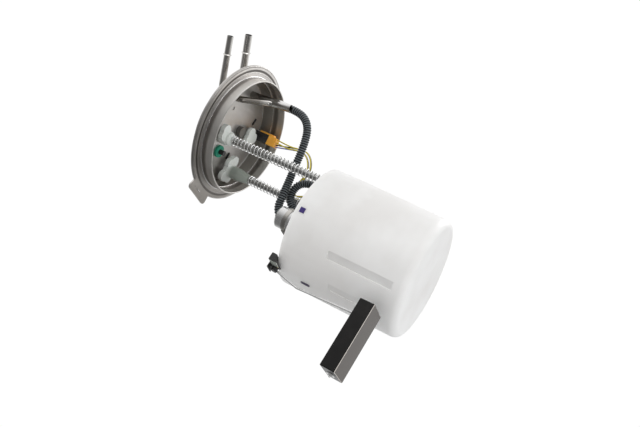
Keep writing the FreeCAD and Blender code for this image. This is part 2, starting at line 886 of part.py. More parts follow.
def make_rod_retainer(letter, x, y, foot_top, end_depth):
    """The white retainer on the rod: neck, lobed foot and a barrel that tapers at its end."""
    name = "rod_retainer_" + letter
    foot_bottom = foot_top - d.retainer_foot_height
    barrel_end = -end_depth
    neck_top = foot_top if letter == "b" else d.pan_depth
    shoulder = foot_bottom - (foot_bottom - barrel_end) * d.retainer_shoulder
    neck = cylinder(name + "_neck", d.retainer_neck_radius, neck_top - foot_bottom, x, y, foot_bottom)
    barrel = cylinder(name + "_barrel", d.retainer_barrel_radius, foot_bottom - shoulder, x, y, shoulder)
    tip = cone(name + "_tip", d.retainer_tip_radius, d.retainer_barrel_radius, shoulder - barrel_end,
               x, y, barrel_end)
    lobes = []
    for number, (share, angle) in enumerate(LOBES[letter]):
        across, along = lobe_offsets(d.retainer_lobe_reach * share, as_size(angle))
        lobes.append(cylinder(f"{name}_lobe_{number}", d.retainer_lobe_radius,
                              d.retainer_foot_height, x + across, y + along, foot_bottom))
    solid = join(name + "_solid", neck, barrel, tip, *lobes)
    bore = cylinder(name + "_bore", d.rod_radius + d.retainer_gap, neck_top - barrel_end, x, y, barrel_end)
    node(cut(name, solid, bore), name)


def make_rod_clips():
    """The e-clips in the rods' grooves that stop them under the bushes."""
    rings = []
    level = bush_bottom - seat_gap - d.rod_clip_gauge
    inner = d.rod_radius - d.rod_groove_depth + d.retainer_gap
    for letter, (x, y, *_) in RODS.items():
        rings.append(sleeve("rod_clip_" + letter, d.rod_clip_radius, inner, d.rod_clip_gauge, x, y, level))
    compound = document.addObject("Part::Compound", "rod_clips")
    compound.Links = rings
    node(compound, "rod_clips")


def make_spring(letter, x, y, end_depth):
    """A coil spring between the retainer's barrel and the bush's flange."""
    wire_radius = d.spring_wire_radius.value
    mean_radius = d.spring_mean_radius.value
    start = bush_top.value + wire_radius + seat_gap.value
    height = -end_depth.value - wire_radius - seat_gap.value - start
    helix = Part.makeHelix(d.spring_pitch.value, height, mean_radius)
    rise = d.spring_pitch.value / (2 * math.pi * mean_radius)
    heading = Vector(0, 1, rise)
    section = Part.Wire([Part.Circle(Vector(mean_radius, 0, 0), heading, wire_radius).toShape()])
    coil = Part.Wire(helix).makePipeShell([section], True, True)
    piece = shape_node("spring_" + letter, coil)
    piece.Placement = FreeCAD.Placement(Vector(x.value, y.value, start), FreeCAD.Rotation())


# Reservoir

def around_reservoir(angle, radius, across=0):
    """The place at this angle and radius about the reservoir's axis, moved sideways by across."""
    x = reservoir_x + cosine(angle) * radius - sine(angle) * across
    y = reservoir_y + sine(angle) * radius + cosine(angle) * across
    return x, y


def wall_box(name, angle, low_radius, depth, width, bottom, height, lean=0.0):
    x, y = around_reservoir(angle, low_radius, -(width / 2))
    return box(name, depth, width, height, x, y, bottom, angle, lean)


def wall_channel(name, angle, depth, width, top_drop, length):
    """A tool that recesses the sloping wall by one depth all the way down."""
    bottom = rim_level - top_drop - length
    wall_slope = (d.rim_radius - d.base_radius) / d.reservoir_height
    low_radius = wall_radius(bottom) - depth
    lean = math.degrees(math.atan(wall_slope.value))
    return wall_box(name, angle, low_radius, depth + 4, width, bottom, length, lean)


def pin_angles():
    count = int(round(d.pin_count.value))
    return [d.pin_angle + 360.0 * number / count for number in range(count)]


def make_reservoir():
    """The white cup, with its recessed channels, the lid pins' windows and the plug's hole."""
    wall = d.reservoir_wall
    body = turned_body("cup", [
        (0, base_level),
        (d.base_radius, base_level),
        (d.rim_radius, rim_level),
        (d.rim_radius - wall, rim_level),
        (d.base_radius - wall, floor_level),
        (0, floor_level),
    ], reservoir_x, reservoir_y)

    round_edges(body, "base_round", d.base_round,
                lambda edge: is_ring(edge, d.base_radius.value, base_level.value))
    round_edges(body, "floor_round", d.base_round - wall,
                lambda edge: is_ring(edge, (d.base_radius - wall).value, floor_level.value))
    tools = [
        wall_channel("channel", d.channel_angle, d.channel_depth, d.channel_width,
                     d.channel_top, d.channel_length),
        wall_channel("shallow_channel", d.shallow_channel_angle, d.shallow_channel_depth,
                     d.channel_width, d.shallow_channel_top, d.shallow_channel_length),
    ]
    window = d.pin_size + 2 * d.window_gap
    window_start = wall_radius(rim_level - d.pin_drop) - 2 * wall
    for number, angle in enumerate(pin_angles()):
        tools.append(wall_box(f"wall_window_{number}", angle, window_start, 3 * wall + 4, window,
                              rim_level - d.pin_drop - window / 2, window))
    tools.append(wall_slot("plug_hole", plug_wall - 3 * wall, 5 * wall, d.window_gap))
    node(cut("reservoir", body, *tools), "reservoir")


def wall_slot(name, low_radius, depth, gap):
    """A slot with round ends through the wall, larger all round by a gap."""
    width = d.wall_slot_width + 2 * as_size(gap)
    run = d.wall_slot_length - d.wall_slot_width
    bottom = plug_level - run / 2
    middle = wall_box(name + "_middle", d.plug_angle, low_radius, depth, width, bottom, run)
    x, y = around_reservoir(d.plug_angle, low_radius)
    out = Vector(cosine(d.plug_angle).value, sine(d.plug_angle).value, 0)
    ends = [cylinder(f"{name}_end_{number}", width / 2, depth, x, y, level, out)
            for number, level in enumerate((bottom, bottom + run))]
    return join(name, middle, *ends)


def make_wall_plug():
    """The small dark plug low on the wall."""
    plug = wall_slot("wall_plug", plug_wall - d.reservoir_wall, d.reservoir_wall + 0.3, 0)
    node(plug, "wall_plug")


def make_reservoir_lid():
    """The lid inside the rim: a disc with a skirt, hose sockets, and bores for the bushes."""
    x, y = reservoir_x, reservoir_y
    disc = cylinder("lid_disc", lid_radius, d.lid_thickness, x, y, lid_bottom)
    skirt_bottom = lid_top - d.skirt_height
    skirt = sleeve("lid_skirt", lid_radius, lid_radius - d.skirt_wall, d.skirt_height, x, y, skirt_bottom)
    places = [(d.outlet_x, d.outlet_y), (d.jet_inlet_x, d.jet_inlet_y), (d.jet_outlet_x, d.jet_outlet_y)]
    solids = [disc, skirt]
    bores = []
    for number, (px, py) in enumerate(places):
        solids.append(cylinder(f"hose_socket_{number}", d.hose_socket_radius, d.hose_socket_height,
                               px, py, lid_top))
        bores.append(cylinder(f"hose_bore_{number}", d.hose_radius + d.hose_gap, d.hose_socket_height,
                              px, py, hose_floor))
        bores.append(cylinder(f"port_{number}", d.port_radius, d.lid_thickness + d.nipple_length + 10,
                              px, py, lid_bottom - d.nipple_length))
    solids.append(cylinder("lid_nipple", d.nipple_radius, d.nipple_length,
                           d.outlet_x, d.outlet_y, lid_bottom - d.nipple_length))
    for letter, (px, py, *_) in RODS.items():
        bores.append(cylinder("bush_hole_" + letter, d.bush_radius + d.braze_gap, d.lid_thickness + 2,
                              px, py, lid_bottom - 1))
    window = d.pin_size + 2 * d.window_gap
    for number, angle in enumerate(pin_angles()):
        bores.append(wall_box(f"skirt_window_{number}", angle, lid_radius - d.skirt_wall - 2, 8, window,
                              rim_level - d.pin_drop - window / 2, window))
    solid = join("lid_solid", *solids)
    node(cut("reservoir_lid", solid, *bores), "reservoir_lid")


def make_lid_pins():
    """The purple pins through the wall and the lid's skirt."""
    pins = []
    inner = lid_radius - d.skirt_wall
    for number, angle in enumerate(pin_angles()):
        pins.append(wall_box(f"pin_{number}", angle, inner, d.rim_radius - inner + 0.2, d.pin_size,
                             rim_level - d.pin_drop - d.pin_size / 2, d.pin_size))
    compound = document.addObject("Part::Compound", "lid_pins")
    compound.Links = pins
    node(compound, "lid_pins")


def make_guide_bush(letter, x, y):
    flange = cylinder("bush_flange_" + letter, d.bush_flange_radius, d.bush_flange_height, x, y, lid_top)
    barrel = cylinder("bush_barrel_" + letter, d.bush_radius, d.bush_length, x, y, bush_bottom)
    solid = join("bush_solid_" + letter, flange, barrel)
    bore = cylinder("bush_bore_" + letter, d.rod_radius + d.running_gap,
                    d.bush_length + d.bush_flange_height, x, y, bush_bottom)
    node(cut("guide_bush_" + letter, solid, bore), "guide_bush_" + letter)


def make_pressure_regulator():
    """The bright can on the lid, with its rounded end."""
    x, y = d.regulator_x, d.regulator_y
    top = lid_top + d.regulator_height
    can = turned_body("pressure_regulator", [
        (0, lid_top),
        (d.regulator_radius, lid_top),
        (d.regulator_radius, top - d.regulator_dome),
        (d.regulator_radius - d.regulator_dome, top),
        (0, top),
    ], x, y)
    node(can, "pressure_regulator")


def make_regulator_bracket():
    """The band round the can and its tapered web, which slopes down to the lid."""
    x, y = d.regulator_x, d.regulator_y
    inner = d.regulator_radius + d.braze_gap
    outer = inner + d.band_gauge
    band_level = lid_top + d.band_level
    band_top = band_level + d.band_height
    band = sleeve("regulator_band", outer, inner, d.band_height, x, y, band_level)
    body = document.addObject("PartDesign::Body", "bracket_web")
    sketch = outline_sketch(body, "web_outline", "XZ_Plane", [
        (-outer - d.strap_foot, lid_top),
        (0, lid_top),
        (0, band_top),
        (-outer, band_top),
    ])
    web = body.newObject("PartDesign::Pad", "web")
    web.Profile = sketch
    web.Midplane = True
    bind(web, Length=d.strap_width)
    sketch.Visibility = False
    put(body, x, y, 0)
    clear = cylinder("strap_clear", inner, d.regulator_height, x, y, lid_top)
    solid = join("bracket_solid", band, body)
    node(cut("regulator_bracket", solid, clear), "regulator_bracket")


def make_pump_connector():
    plug = centred_box("pump_connector", d.pump_plug_length, d.pump_plug_width, d.pump_plug_height,
                       d.pump_plug_x, d.pump_plug_y, lid_top)
    node(plug, "pump_connector")


# Pump

def make_pump_shell():
    """The pump's steel case, its two ends, and the plate above the impeller."""
    x, y = d.pump_x, d.pump_y
    inner = d.pump_radius - d.pump_wall
    fit_radius = inner - d.braze_gap
    case = sleeve("pump_case", d.pump_radius, inner, pump_length, x, y, pump_bottom)
    node(case, "pump_case")
    bearing = d.shaft_radius + d.running_gap
    cap = cylinder("cap_disc", d.pump_radius, d.pump_cap_height, x, y, pump_top)
    cap_plug = cylinder("cap_plug", fit_radius, d.pump_plug_in, x, y, pump_top - d.pump_plug_in)
    nipple_level = pump_top + d.pump_cap_height
    nipple = cylinder("cap_nipple", d.nipple_radius, d.nipple_length + 4,
                      d.outlet_x, d.outlet_y, nipple_level)
    cap_solid = join("cap_solid", cap, cap_plug, nipple)
    cap_bearing = cylinder("cap_bearing", bearing, d.pump_plug_in, x, y, pump_top - d.pump_plug_in)
    cap_port = cylinder("cap_port", d.port_radius, d.pump_cap_height + d.nipple_length + 20,
                        d.outlet_x, d.outlet_y, pump_top - d.pump_plug_in)
    node(cut("pump_top_cap", cap_solid, cap_bearing, cap_port), "pump_top_cap")
    cover = cylinder("inlet_disc", fit_radius, d.inlet_cover_height, x, y, pump_bottom)
    inlet = cylinder("inlet_nipple", d.inlet_radius, d.inlet_length, x, y, inlet_bottom)
    inlet_solid = join("inlet_solid", cover, inlet)
    inlet_port = cylinder("inlet_port", d.inlet_port_radius,
                          d.inlet_length + d.inlet_cover_height, x, y, inlet_bottom)
    node(cut("pump_inlet_cover", inlet_solid, inlet_port), "pump_inlet_cover")
    chamber = sleeve("pump_chamber", fit_radius, bearing, d.chamber_height, x, y, chamber_bottom)
    node(chamber, "pump_chamber")


def make_pump_magnets():
    """Two curved magnets inside the case, with a gap between them on each side."""
    x, y = d.pump_x, d.pump_y
    outer = d.pump_radius - d.pump_wall - d.braze_gap
    level = pump_top - d.armature_start - armature_length
    ring = sleeve("magnet_ring", outer, outer - d.magnet_gauge, armature_length, x, y, level)
    slot = centred_box("magnet_slot", 2 * d.pump_radius, d.impeller_height, armature_length, x, y, level)
    node(cut("pump_magnets", ring, slot), "pump_magnets")


def make_rotor():
    """The shaft in its two bearings, with the armature, its commutator and the impeller."""
    x, y = d.pump_x, d.pump_y
    shaft_top = pump_top - d.shaft_start
    shaft_bottom = impeller_top - d.impeller_height
    node(cylinder("pump_shaft", d.shaft_radius, shaft_top - shaft_bottom, x, y, shaft_bottom), "pump_shaft")
    armature_top = pump_top - d.armature_start
    core = cylinder("armature_core", d.armature_radius, armature_length, x, y,
                    armature_top - armature_length)
    commutator = cylinder("commutator", d.commutator_radius, d.commutator_length, x, y, armature_top)
    rotor = join("armature_solid", core, commutator)
    bore = cylinder("armature_bore", d.shaft_radius + d.retainer_gap,
                    armature_length + d.commutator_length, x, y, armature_top - armature_length)
    node(cut("armature", rotor, bore), "armature")
    wheel = sleeve("impeller", d.impeller_radius, d.shaft_radius + d.retainer_gap, d.impeller_height,
                   x, y, impeller_top - d.impeller_height)
    node(wheel, "impeller")


def make_outlet_coupler():
    """The short hose from the pump's outlet nipple to the lid's nipple."""
    start = pump_top + d.pump_cap_height
    coupler = sleeve("outlet_coupler", d.nipple_radius + 2, d.nipple_radius + d.braze_gap,
                     lid_bottom - start - 2 * seat_gap, d.outlet_x, d.outlet_y, start + seat_gap)
    node(coupler, "outlet_coupler")


def make_pump_seat():
    """The rubber isolator round the pump's foot, the cradle that holds it, and the strainer."""
    x, y = d.pump_x, d.pump_y
    isolator_inner = d.pump_radius + seat_gap
    isolator_outer = isolator_inner + d.isolator_wall
    lip_top = pump_bottom - seat_gap
    lip_inner = d.pump_radius - d.isolator_lip
    side = sleeve("isolator_side", isolator_outer, isolator_inner, d.isolator_height, x, y, lip_top)
    lip = sleeve("isolator_lip", isolator_outer, lip_inner, d.isolator_lip, x, y, lip_top - d.isolator_lip)
    node(join("pump_isolator", side, lip), "pump_isolator")
    cradle_inner = isolator_outer + seat_gap
    cradle_outer = cradle_inner + d.cradle_wall
    ledge_top = lip_top - d.isolator_lip - seat_gap
    ring = sleeve("cradle_ring", cradle_outer, cradle_inner, d.cradle_height, x, y, floor_level)
    ledge = sleeve("cradle_ledge", cradle_outer, lip_inner + 0.5, d.cradle_ledge, x, y,
                   ledge_top - d.cradle_ledge)
    solid = join("cradle_solid", ring, ledge)
    window_height = ledge_top - d.cradle_ledge - floor_level
    window_a = centred_box("cradle_window_a", 2 * cradle_outer + 2, d.cradle_window, window_height,
                           x, y, floor_level)
    window_b = centred_box("cradle_window_b", d.cradle_window, 2 * cradle_outer + 2, window_height,
                           x, y, floor_level)
    node(cut("pump_cradle", solid, window_a, window_b), "pump_cradle")
    pad = cylinder("strainer_pad", d.strainer_radius, d.strainer_height, x, y, floor_level + seat_gap)
    neck = cylinder("strainer_neck", d.strainer_neck, d.strainer_neck, x, y, strainer_top)
    bore = cylinder("strainer_bore", d.inlet_radius + d.braze_gap, 2 * d.strainer_neck, x, y,
                    inlet_bottom - seat_gap)
    strainer_solid = join("strainer_solid", pad, neck)
    node(cut("strainer", strainer_solid, bore), "strainer")


def make_jet_pump():
    """The jet pump on the reservoir's floor and its drop tube from the lid."""
    x, y = d.jet_outlet_x, d.jet_outlet_y
    block = centred_box("jet_block", d.jet_pump_length, d.jet_pump_width, d.jet_pump_height,
                        x, y, floor_level)
    node(block, "jet_pump")
    top = floor_level + d.jet_pump_height
    tube = sleeve("jet_tube", d.jet_tube_radius, d.jet_tube_radius - d.tube_wall, lid_bottom - top, x, y, top)
    node(tube, "jet_tube")


# Level sender. Its pieces are made along the hinge axis and then turned about Z with it.
# X runs outwards along the hinge axis, and the plate stands just outside the reservoir's wall.

OUT = Vector(1, 0, 0)
reservoir_along = cosine(d.sender_angle) * reservoir_x + sine(d.sender_angle) * reservoir_y
reservoir_across = cosine(d.sender_angle) * reservoir_y - sine(d.sender_angle) * reservoir_x
hinge_across = reservoir_across + d.hinge_offset
hinge_level = rim_level + d.hinge_rise
plate_front = hinge_across - d.sender_front
rim_under_front = d.hinge_offset - d.sender_front
plate_start = (reservoir_along + 2 * seat_gap
               + root(d.rim_radius * d.rim_radius - rim_under_front * rim_under_front))
plate_face = plate_start + d.sender_plate_gauge
plate_bottom = hinge_level - d.sender_plate_fall
plate_top = hinge_level + d.sender_plate_rise
hub_start = plate_face + d.hub_gap
hub_end = hub_start + d.hub_length
arm_root = hub_start + d.arm_root_length
arm_plane = hub_start + d.arm_reach
float_start = arm_plane - d.float_overhang
float_place = hinge_across + d.float_across
float_level = hinge_level - d.float_drop


def turn_with_sender(piece):
    """Turn a piece about Z to the sender's direction, after any placement that it has."""
    turn = FreeCAD.Placement(Vector(), FreeCAD.Rotation(UP, d.sender_angle.value))
    piece.Placement = turn.multiply(piece.Placement)
    return piece


def make_sender_housing():
    """The black bracket over the rim: a plate outside the wall, a block, and a foot on the lid."""
    plate = box("sender_plate", d.sender_plate_gauge, d.sender_width, plate_top - plate_bottom,
                plate_start, plate_front, plate_bottom)
    block_start = plate_start - d.sender_reach_in
    block_bottom = rim_level + d.sender_block_lift
    block = box("sender_block", d.sender_reach_in, d.sender_width, plate_top - block_bottom,
                block_start, plate_front, block_bottom)
    foot = box("sender_foot", d.sender_foot_length, d.sender_foot_width, plate_top - lid_top,
               block_start - d.sender_foot_length / 2, plate_front, lid_top)
    solid = join("sender_solid", plate, block, foot)
    hole = cylinder("hinge_hole", d.hinge_pin_radius + d.running_gap, d.sender_plate_gauge + 4,
                    plate_start - 2, hinge_across, hinge_level, OUT)
    node(turn_with_sender(cut("sender_housing", solid, hole)), "sender_housing")


def make_resistor_card():
    card = box("card", d.card_gauge, d.card_width, d.card_height,
               plate_face, hinge_across + d.card_start, plate_bottom)
    compound = document.addObject("Part::Compound", "resistor_card")
    compound.Links = [card]
    node(turn_with_sender(compound), "resistor_card")


def make_sender_cover():
    """The roof over the hub, with a lip that hangs down in front of it."""
    front_start = hub_end + d.hub_gap
    roof_level = plate_top - d.cover_gauge
    roof = box("cover_roof", front_start + d.cover_gauge - plate_face, d.cover_width, d.cover_gauge,
               plate_face, plate_front, roof_level)
    front = box("cover_front", d.cover_gauge, d.cover_width, d.cover_drop, front_start, plate_front,
                plate_top - d.cover_drop)
    node(turn_with_sender(join("sender_cover", front, roof)), "sender_cover")


def arm_route():
    """The float wire: out of the hub, down past the wall, and along the float."""
    end = float_start + d.float_length + d.wire_tail
    kink = (hub_start + d.arm_kink_reach, hinge_across + d.arm_kink_across, hinge_level - d.arm_kink_drop)
    start = (arm_root, hinge_across + d.arm_root_across, hinge_level + d.arm_root_rise)
    return [
        tuple(size.value for size in start),
        tuple(size.value for size in kink),
        (arm_plane.value, float_place.value, float_level.value),
        (end.value, float_place.value, float_level.value),
    ]


def arm_shape(radius):
    route, _ = rounded_route(arm_route(), d.arm_bend.value)
    return swept(route, radius)


def make_arm():
    """The wire and the hub that it sits in; the hub's pin turns in the bracket."""
    radius = d.arm_radius.value
    turn_with_sender(shape_node("float_arm", arm_shape(radius)))
    axis = (hinge_across.value, hinge_level.value)
    hub = Part.makeCylinder(d.hub_radius.value, d.hub_length.value, Vector(hub_start.value, *axis), OUT)
    pin = Part.makeCylinder(d.hinge_pin_radius.value, (hub_start - plate_start).value,
                            Vector(plate_start.value, *axis), OUT)
    hub = hub.fuse(pin).removeSplitter().cut(arm_shape(radius + d.retainer_gap.value))
    turn_with_sender(shape_node("arm_hub", hub))


def make_wiper():
    """The contact leaf that leads the arm by its own angle on the card."""
    leaf = Part.makeBox(d.wiper_gauge.value, d.wiper_width.value, d.wiper_length.value,
                        Vector(0, -d.wiper_width.value / 2, d.hub_radius.value + 0.05))
    leaf.rotate(Vector(), OUT, -d.wiper_lead.value)
    face = plate_face + d.card_gauge + seat_gap
    leaf.translate(Vector(face.value, hinge_across.value, hinge_level.value))
    turn_with_sender(shape_node("wiper", leaf))


def make_float():
    """The foam block, bored for the wire and slotted on its upper side where the wire comes in."""
    length, width, height = d.float_length.value, d.float_width.value, d.float_height.value
    block = Part.makeBox(length, width, height, Vector(float_start.value, -width / 2, -height / 2))
    block = block.makeFillet(d.float_edge_round.value, block.Edges)
    half = d.float_slot_half_width.value
    slot_start = arm_plane.value - d.float_slot_reach.value
    slot = Part.makeBox(2 * d.float_slot_reach.value, 2 * half, height,
                        Vector(slot_start, -half, -d.arm_radius.value - 0.3))
    bore = Part.makeCylinder(d.arm_radius.value + d.float_bore_gap.value, length,
                             Vector(arm_plane.value, 0, 0), OUT)
    block = block.cut(slot).cut(bore)
    block.rotate(Vector(), OUT, d.float_tilt.value)
    block.translate(Vector(0, float_place.value, float_level.value))
    turn_with_sender(shape_node("float_block", block))


def make_push_nut():
    """The spring nut that keeps the float on the wire."""
    start = (float_start + d.float_length + seat_gap).value
    place = (float_place.value, float_level.value)
    disc = Part.makeCylinder(d.nut_radius.value, d.nut_gauge.value, Vector(start, *place), OUT)
    crown = Part.makeCone(d.nut_crown.value + 0.6, d.nut_crown.value, 1,
                          Vector(start + d.nut_gauge.value, *place), OUT)
    bore = Part.makeCylinder(d.arm_radius.value + d.retainer_gap.value, 3, Vector(start - 0.5, *place), OUT)
    turn_with_sender(shape_node("push_nut", disc.fuse(crown).removeSplitter().cut(bore)))


# Hoses and wires. Their points are chosen by hand along the route that each one takes.

MAIN_HOSE = [
    (48.3, 15.0, -33.1), (48.3, 15.0, -44.7), (44.0, 14.0, -56.4), (35.0, 12.5, -64.6),
    (22.6, 10.5, -68.8), (7.3, 8.0, -71.7), (-8.9, 5.5, -73.3), (-24.9, 2.5, -75.8),
    (-40.0, -3.5, -79.2), (-53.0, -6.5, -81.0), (-60.8, -8.2, -88.2), (-62.2, -8.5, -98.5),
    (-62.0, -8.5, -109.9), (-62.0, -8.5, -120.9),
]
JET_HOSE = [
    (-50.0, 7.0, -120.9), (-50.0, 7.0, -109.4), (-49.6, 7.0, -97.5), (-46.0, 7.5, -87.0),
    (-36.5, 9.5, -80.3), (-25.5, 13.2, -80.8), (-18.5, 15.0, -87.5), (-16.9, 15.0, -98.0),
    (-17.0, 15.0, -109.4), (-17.0, 15.0, -120.9),
]
# Each point of the wires' trunk carries the bundle's spread there.
WIRE_TRUNK = [
    (10.8, 45.5, -37.0, 1.3), (13.3, 43.0, -51.0, 1.0), (12.8, 39.5, -63.0, 1.0),
    (5.0, 34.5, -73.5, 1.0), (-7.0, 32.0, -78.5, 1.0), (-22.0, 30.0, -74.5, 1.0),
    (-34.5, 29.5, -70.5, 1.2), (-37.5, 29.0, -76.0, 1.4), (-35.0, 28.0, -84.0, 1.5),
    (-31.0, 25.0, -94.0, 1.3), (-29.0, 22.5, -104.0, 1.0),
]
# Each wire keeps its own place in the bundle and its own terminal in the lock.
WIRES = {
    "wire_yellow_a": (4.2, (1.25, -1.1, -1.25)),
    "wire_yellow_b": (1.0, (-1.25, -1.1, 1.25)),
    "wire_black": (-1.8, (1.25, 1.1, -1.25)),
    "wire_purple": (-4.2, (-1.25, 1.1, 1.25)),
}


def wire_points(terminal, offset):
    """The trunk's route moved to the wire's place, between its two terminals."""
    moved = [(x + offset[0] * spread, y + offset[1] * spread, z + offset[2] * spread)
             for x, y, z, spread in WIRE_TRUNK]
    start_x = d.header_x.value + terminal
    start = (start_x, d.header_y.value, (lock_bottom - d.wire_end_gap).value)
    end_x = d.pump_plug_x.value + offset[0] * 1.6
    end_y = d.pump_plug_y.value + offset[1] * 1.4
    end_level = lid_top + d.pump_plug_height + d.wire_end_gap
    return [start] + moved + [(end_x, end_y, end_level.value)]


def make_cords():
    cord("main_hose", MAIN_HOSE, d.hose_radius.value)
    cord("jet_hose", JET_HOSE, d.hose_radius.value)
    for name, (terminal, offset) in WIRES.items():
        cord(name, wire_points(terminal, offset), d.wire_radius.value)


def make_cover():
    make_flange_ring()
    make_cover_pan()
    make_pan_fittings()
    make_tube("supply_tube", supply_route(), d.supply_tube_radius.value, 9)
    make_tube("vapour_tube", vapour_route(), d.vapour_tube_radius.value, 8)
    make_tube_sleeves()
    make_electrical_header()
    make_harness_plug()
    make_harness_clip()
    make_pressure_sensor()
    for letter, (x, y, foot_top, end_depth) in RODS.items():
        make_rod_retainer(letter, x, y, foot_top, end_depth)
        make_rod(letter, x, y, foot_top)
        make_spring(letter, x, y, end_depth)
    make_rod_clips()


def make_reservoir_group():
    make_reservoir()
    make_wall_plug()
    make_reservoir_lid()
    make_lid_pins()
    for letter, (x, y, *_) in RODS.items():
        make_guide_bush(letter, x, y)
    make_pressure_regulator()
    make_regulator_bracket()
    make_pump_connector()
    make_pump_shell()
    make_pump_magnets()
    make_rotor()
    make_outlet_coupler()
    make_pump_seat()
    make_jet_pump()


def make_sender():
    make_sender_housing()
    make_resistor_card()
    make_sender_cover()
    make_arm()
    make_wiper()
    make_float()
    make_push_nut()


def check_and_export():
    """Stop on any failed object or bad shape, then write one file for each sub-part."""
    document.recompute()
    failed = [item.Name for item in document.Objects if {"Invalid", "Error"} & set(item.State)]
    if failed:
        raise RuntimeError("failed objects: " + ", ".join(failed))
    for piece in nodes:
        if piece.Shape.isNull() or not piece.Shape.isValid() or not piece.Shape.Solids:
            raise RuntimeError("bad shape: " + piece.Label)
    os.makedirs("parts", exist_ok=True)
    for piece in nodes:
        piece.Shape.exportStep(os.path.join("parts", piece.Label + ".step"))
        solids = piece.Shape.Solids
        volume = sum(solid.Volume for solid in solids)
        print(f"{piece.Label}: {len(solids)} solid(s), {volume:.0f} mm3")
    print(f"{len(nodes)} sub-parts")


make_cover()
make_reservoir_group()
make_sender()
make_cords()
check_and_export()
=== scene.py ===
import json
import math

import bpy
from mathutils import Matrix, Vector


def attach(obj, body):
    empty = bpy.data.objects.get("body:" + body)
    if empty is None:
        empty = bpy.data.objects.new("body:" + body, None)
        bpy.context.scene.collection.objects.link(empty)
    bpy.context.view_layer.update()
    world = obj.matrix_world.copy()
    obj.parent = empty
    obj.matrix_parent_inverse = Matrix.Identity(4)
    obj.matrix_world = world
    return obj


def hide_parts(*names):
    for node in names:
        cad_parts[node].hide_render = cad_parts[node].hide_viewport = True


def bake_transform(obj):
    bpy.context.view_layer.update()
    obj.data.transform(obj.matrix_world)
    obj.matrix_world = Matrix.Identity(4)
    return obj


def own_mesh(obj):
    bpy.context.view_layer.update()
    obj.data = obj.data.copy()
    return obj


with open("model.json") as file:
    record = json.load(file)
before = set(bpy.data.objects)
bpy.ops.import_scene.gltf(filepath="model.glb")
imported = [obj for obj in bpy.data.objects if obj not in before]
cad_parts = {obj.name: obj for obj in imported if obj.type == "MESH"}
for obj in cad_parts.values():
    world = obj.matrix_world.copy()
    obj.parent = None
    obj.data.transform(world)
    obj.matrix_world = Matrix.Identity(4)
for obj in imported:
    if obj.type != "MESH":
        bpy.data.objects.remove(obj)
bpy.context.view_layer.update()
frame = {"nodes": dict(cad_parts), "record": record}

# Fuel pump module: materials, corrugated hoses, wires, coil springs and small fittings.
# Lengths are metres in the frame of the model, with the tank cover's axis along Z.

MM = 0.001
nodes = frame["nodes"]


# Shader nodes

class Nodes:
    """A node tree, with short ways to add its nodes and to join them."""

    def __init__(self, tree):
        self.tree = tree

    def add(self, kind, **settings):
        """A new node, with some of its settings changed."""
        node = self.tree.nodes.new(kind)
        for name, value in settings.items():
            setattr(node, name, value)
        return node

    def link(self, output, socket):
        self.tree.links.new(output, socket)

    def feed(self, value, socket):
        """Link an output to a socket, or set the socket to a plain value."""
        if isinstance(value, bpy.types.NodeSocket):
            self.link(value, socket)
        else:
            socket.default_value = value

    def formula(self, operation, first, second):
        """A Math node of two numbers or outputs."""
        node = self.add("ShaderNodeMath", operation=operation)
        self.feed(first, node.inputs[0])
        self.feed(second, node.inputs[1])
        return node.outputs["Value"]

    def product(self, first, second):
        return self.formula("MULTIPLY", first, second)

    def dot(self, first, second):
        """The dot product of two vectors or outputs."""
        node = self.add("ShaderNodeVectorMath", operation="DOT_PRODUCT")
        self.feed(first, node.inputs[0])
        self.feed(second, node.inputs[1])
        return node.outputs["Value"]

    def between(self, source, low, high, out_low=0.0, out_high=1.0, interpolation="LINEAR"):
        """A value that goes from one output value to the other while the source goes from low to high."""
        node = self.add("ShaderNodeMapRange", interpolation_type=interpolation)
        for name, value in (("From Min", low), ("From Max", high), ("To Min", out_low), ("To Max", out_high)):
            node.inputs[name].default_value = value
        self.link(source, node.inputs["Value"])
        return node.outputs["Result"]


# Camera and studio

# The camera was fitted to the photograph's outlines: it stands in front of the module and below it, and
# looks up at the cover's inner face. The view's ways are the picture's right, its top, and back from the
# model to the camera.
CAMERA_PLACE = Vector((-0.0407, -0.61083, -0.37563))
VIEW_RIGHT = Vector((0.42755, 0.34435, -0.83584))
VIEW_UP = Vector((0.90399, -0.16286, 0.39532))
VIEW_NEAR = Vector((0.0, -0.92461, -0.38092))
SENSOR_WIDTH = 36.0
IMAGE_WIDTH = 640.0
FOCAL_PIXELS = 652.5
CLIP_START = 0.01

# The point near the model's middle that every light faces.
MIDDLE = Vector((-0.02, -0.01, -0.12))
WHITE = (1.0, 1.0, 1.0)
WARM_WHITE = (1.0, 0.95, 0.89)
# Each light's way from the middle, in shares of the view's right, up and near ways, then its distance, its
# size, its power, whether a glossy surface reflects it, and its colour.
LIGHTS = {
    "key": ((0.30, 0.95, 0.30), 0.9, 0.45, 0.7, True, WHITE),
    "back": ((0.75, 0.45, -0.55), 0.9, 0.5, 2.0, True, WHITE),
    "fill": ((-0.15, 0.25, 0.95), 1.0, 0.6, 1.35, False, WARM_WHITE),
    "card": ((-0.15, 0.75, 0.70), 1.0, 0.16, 0.7, True, WHITE),
    "edge": ((0.63, -0.30, 0.69), 1.0, 0.12, 0.35, True, WHITE),
    "under": ((0.95, -0.30, 0.35), 0.9, 0.6, 0.7, False, WHITE),
}

# The backdrop's least and greatest strength, and the way in shares of the view's ways in which it is
# strongest: first as glossy surfaces see it, then as it lights diffuse ones.
GLOSSY_BACKDROP = ((0.13, 0.95), (0.34, 0.62, -0.62))
DIFFUSE_BACKDROP = ((0.70, 0.98), (0.75, 0.40, 0.25))
SEEN_BACKDROP = 1.02
BACKDROP_FADE = 0.75


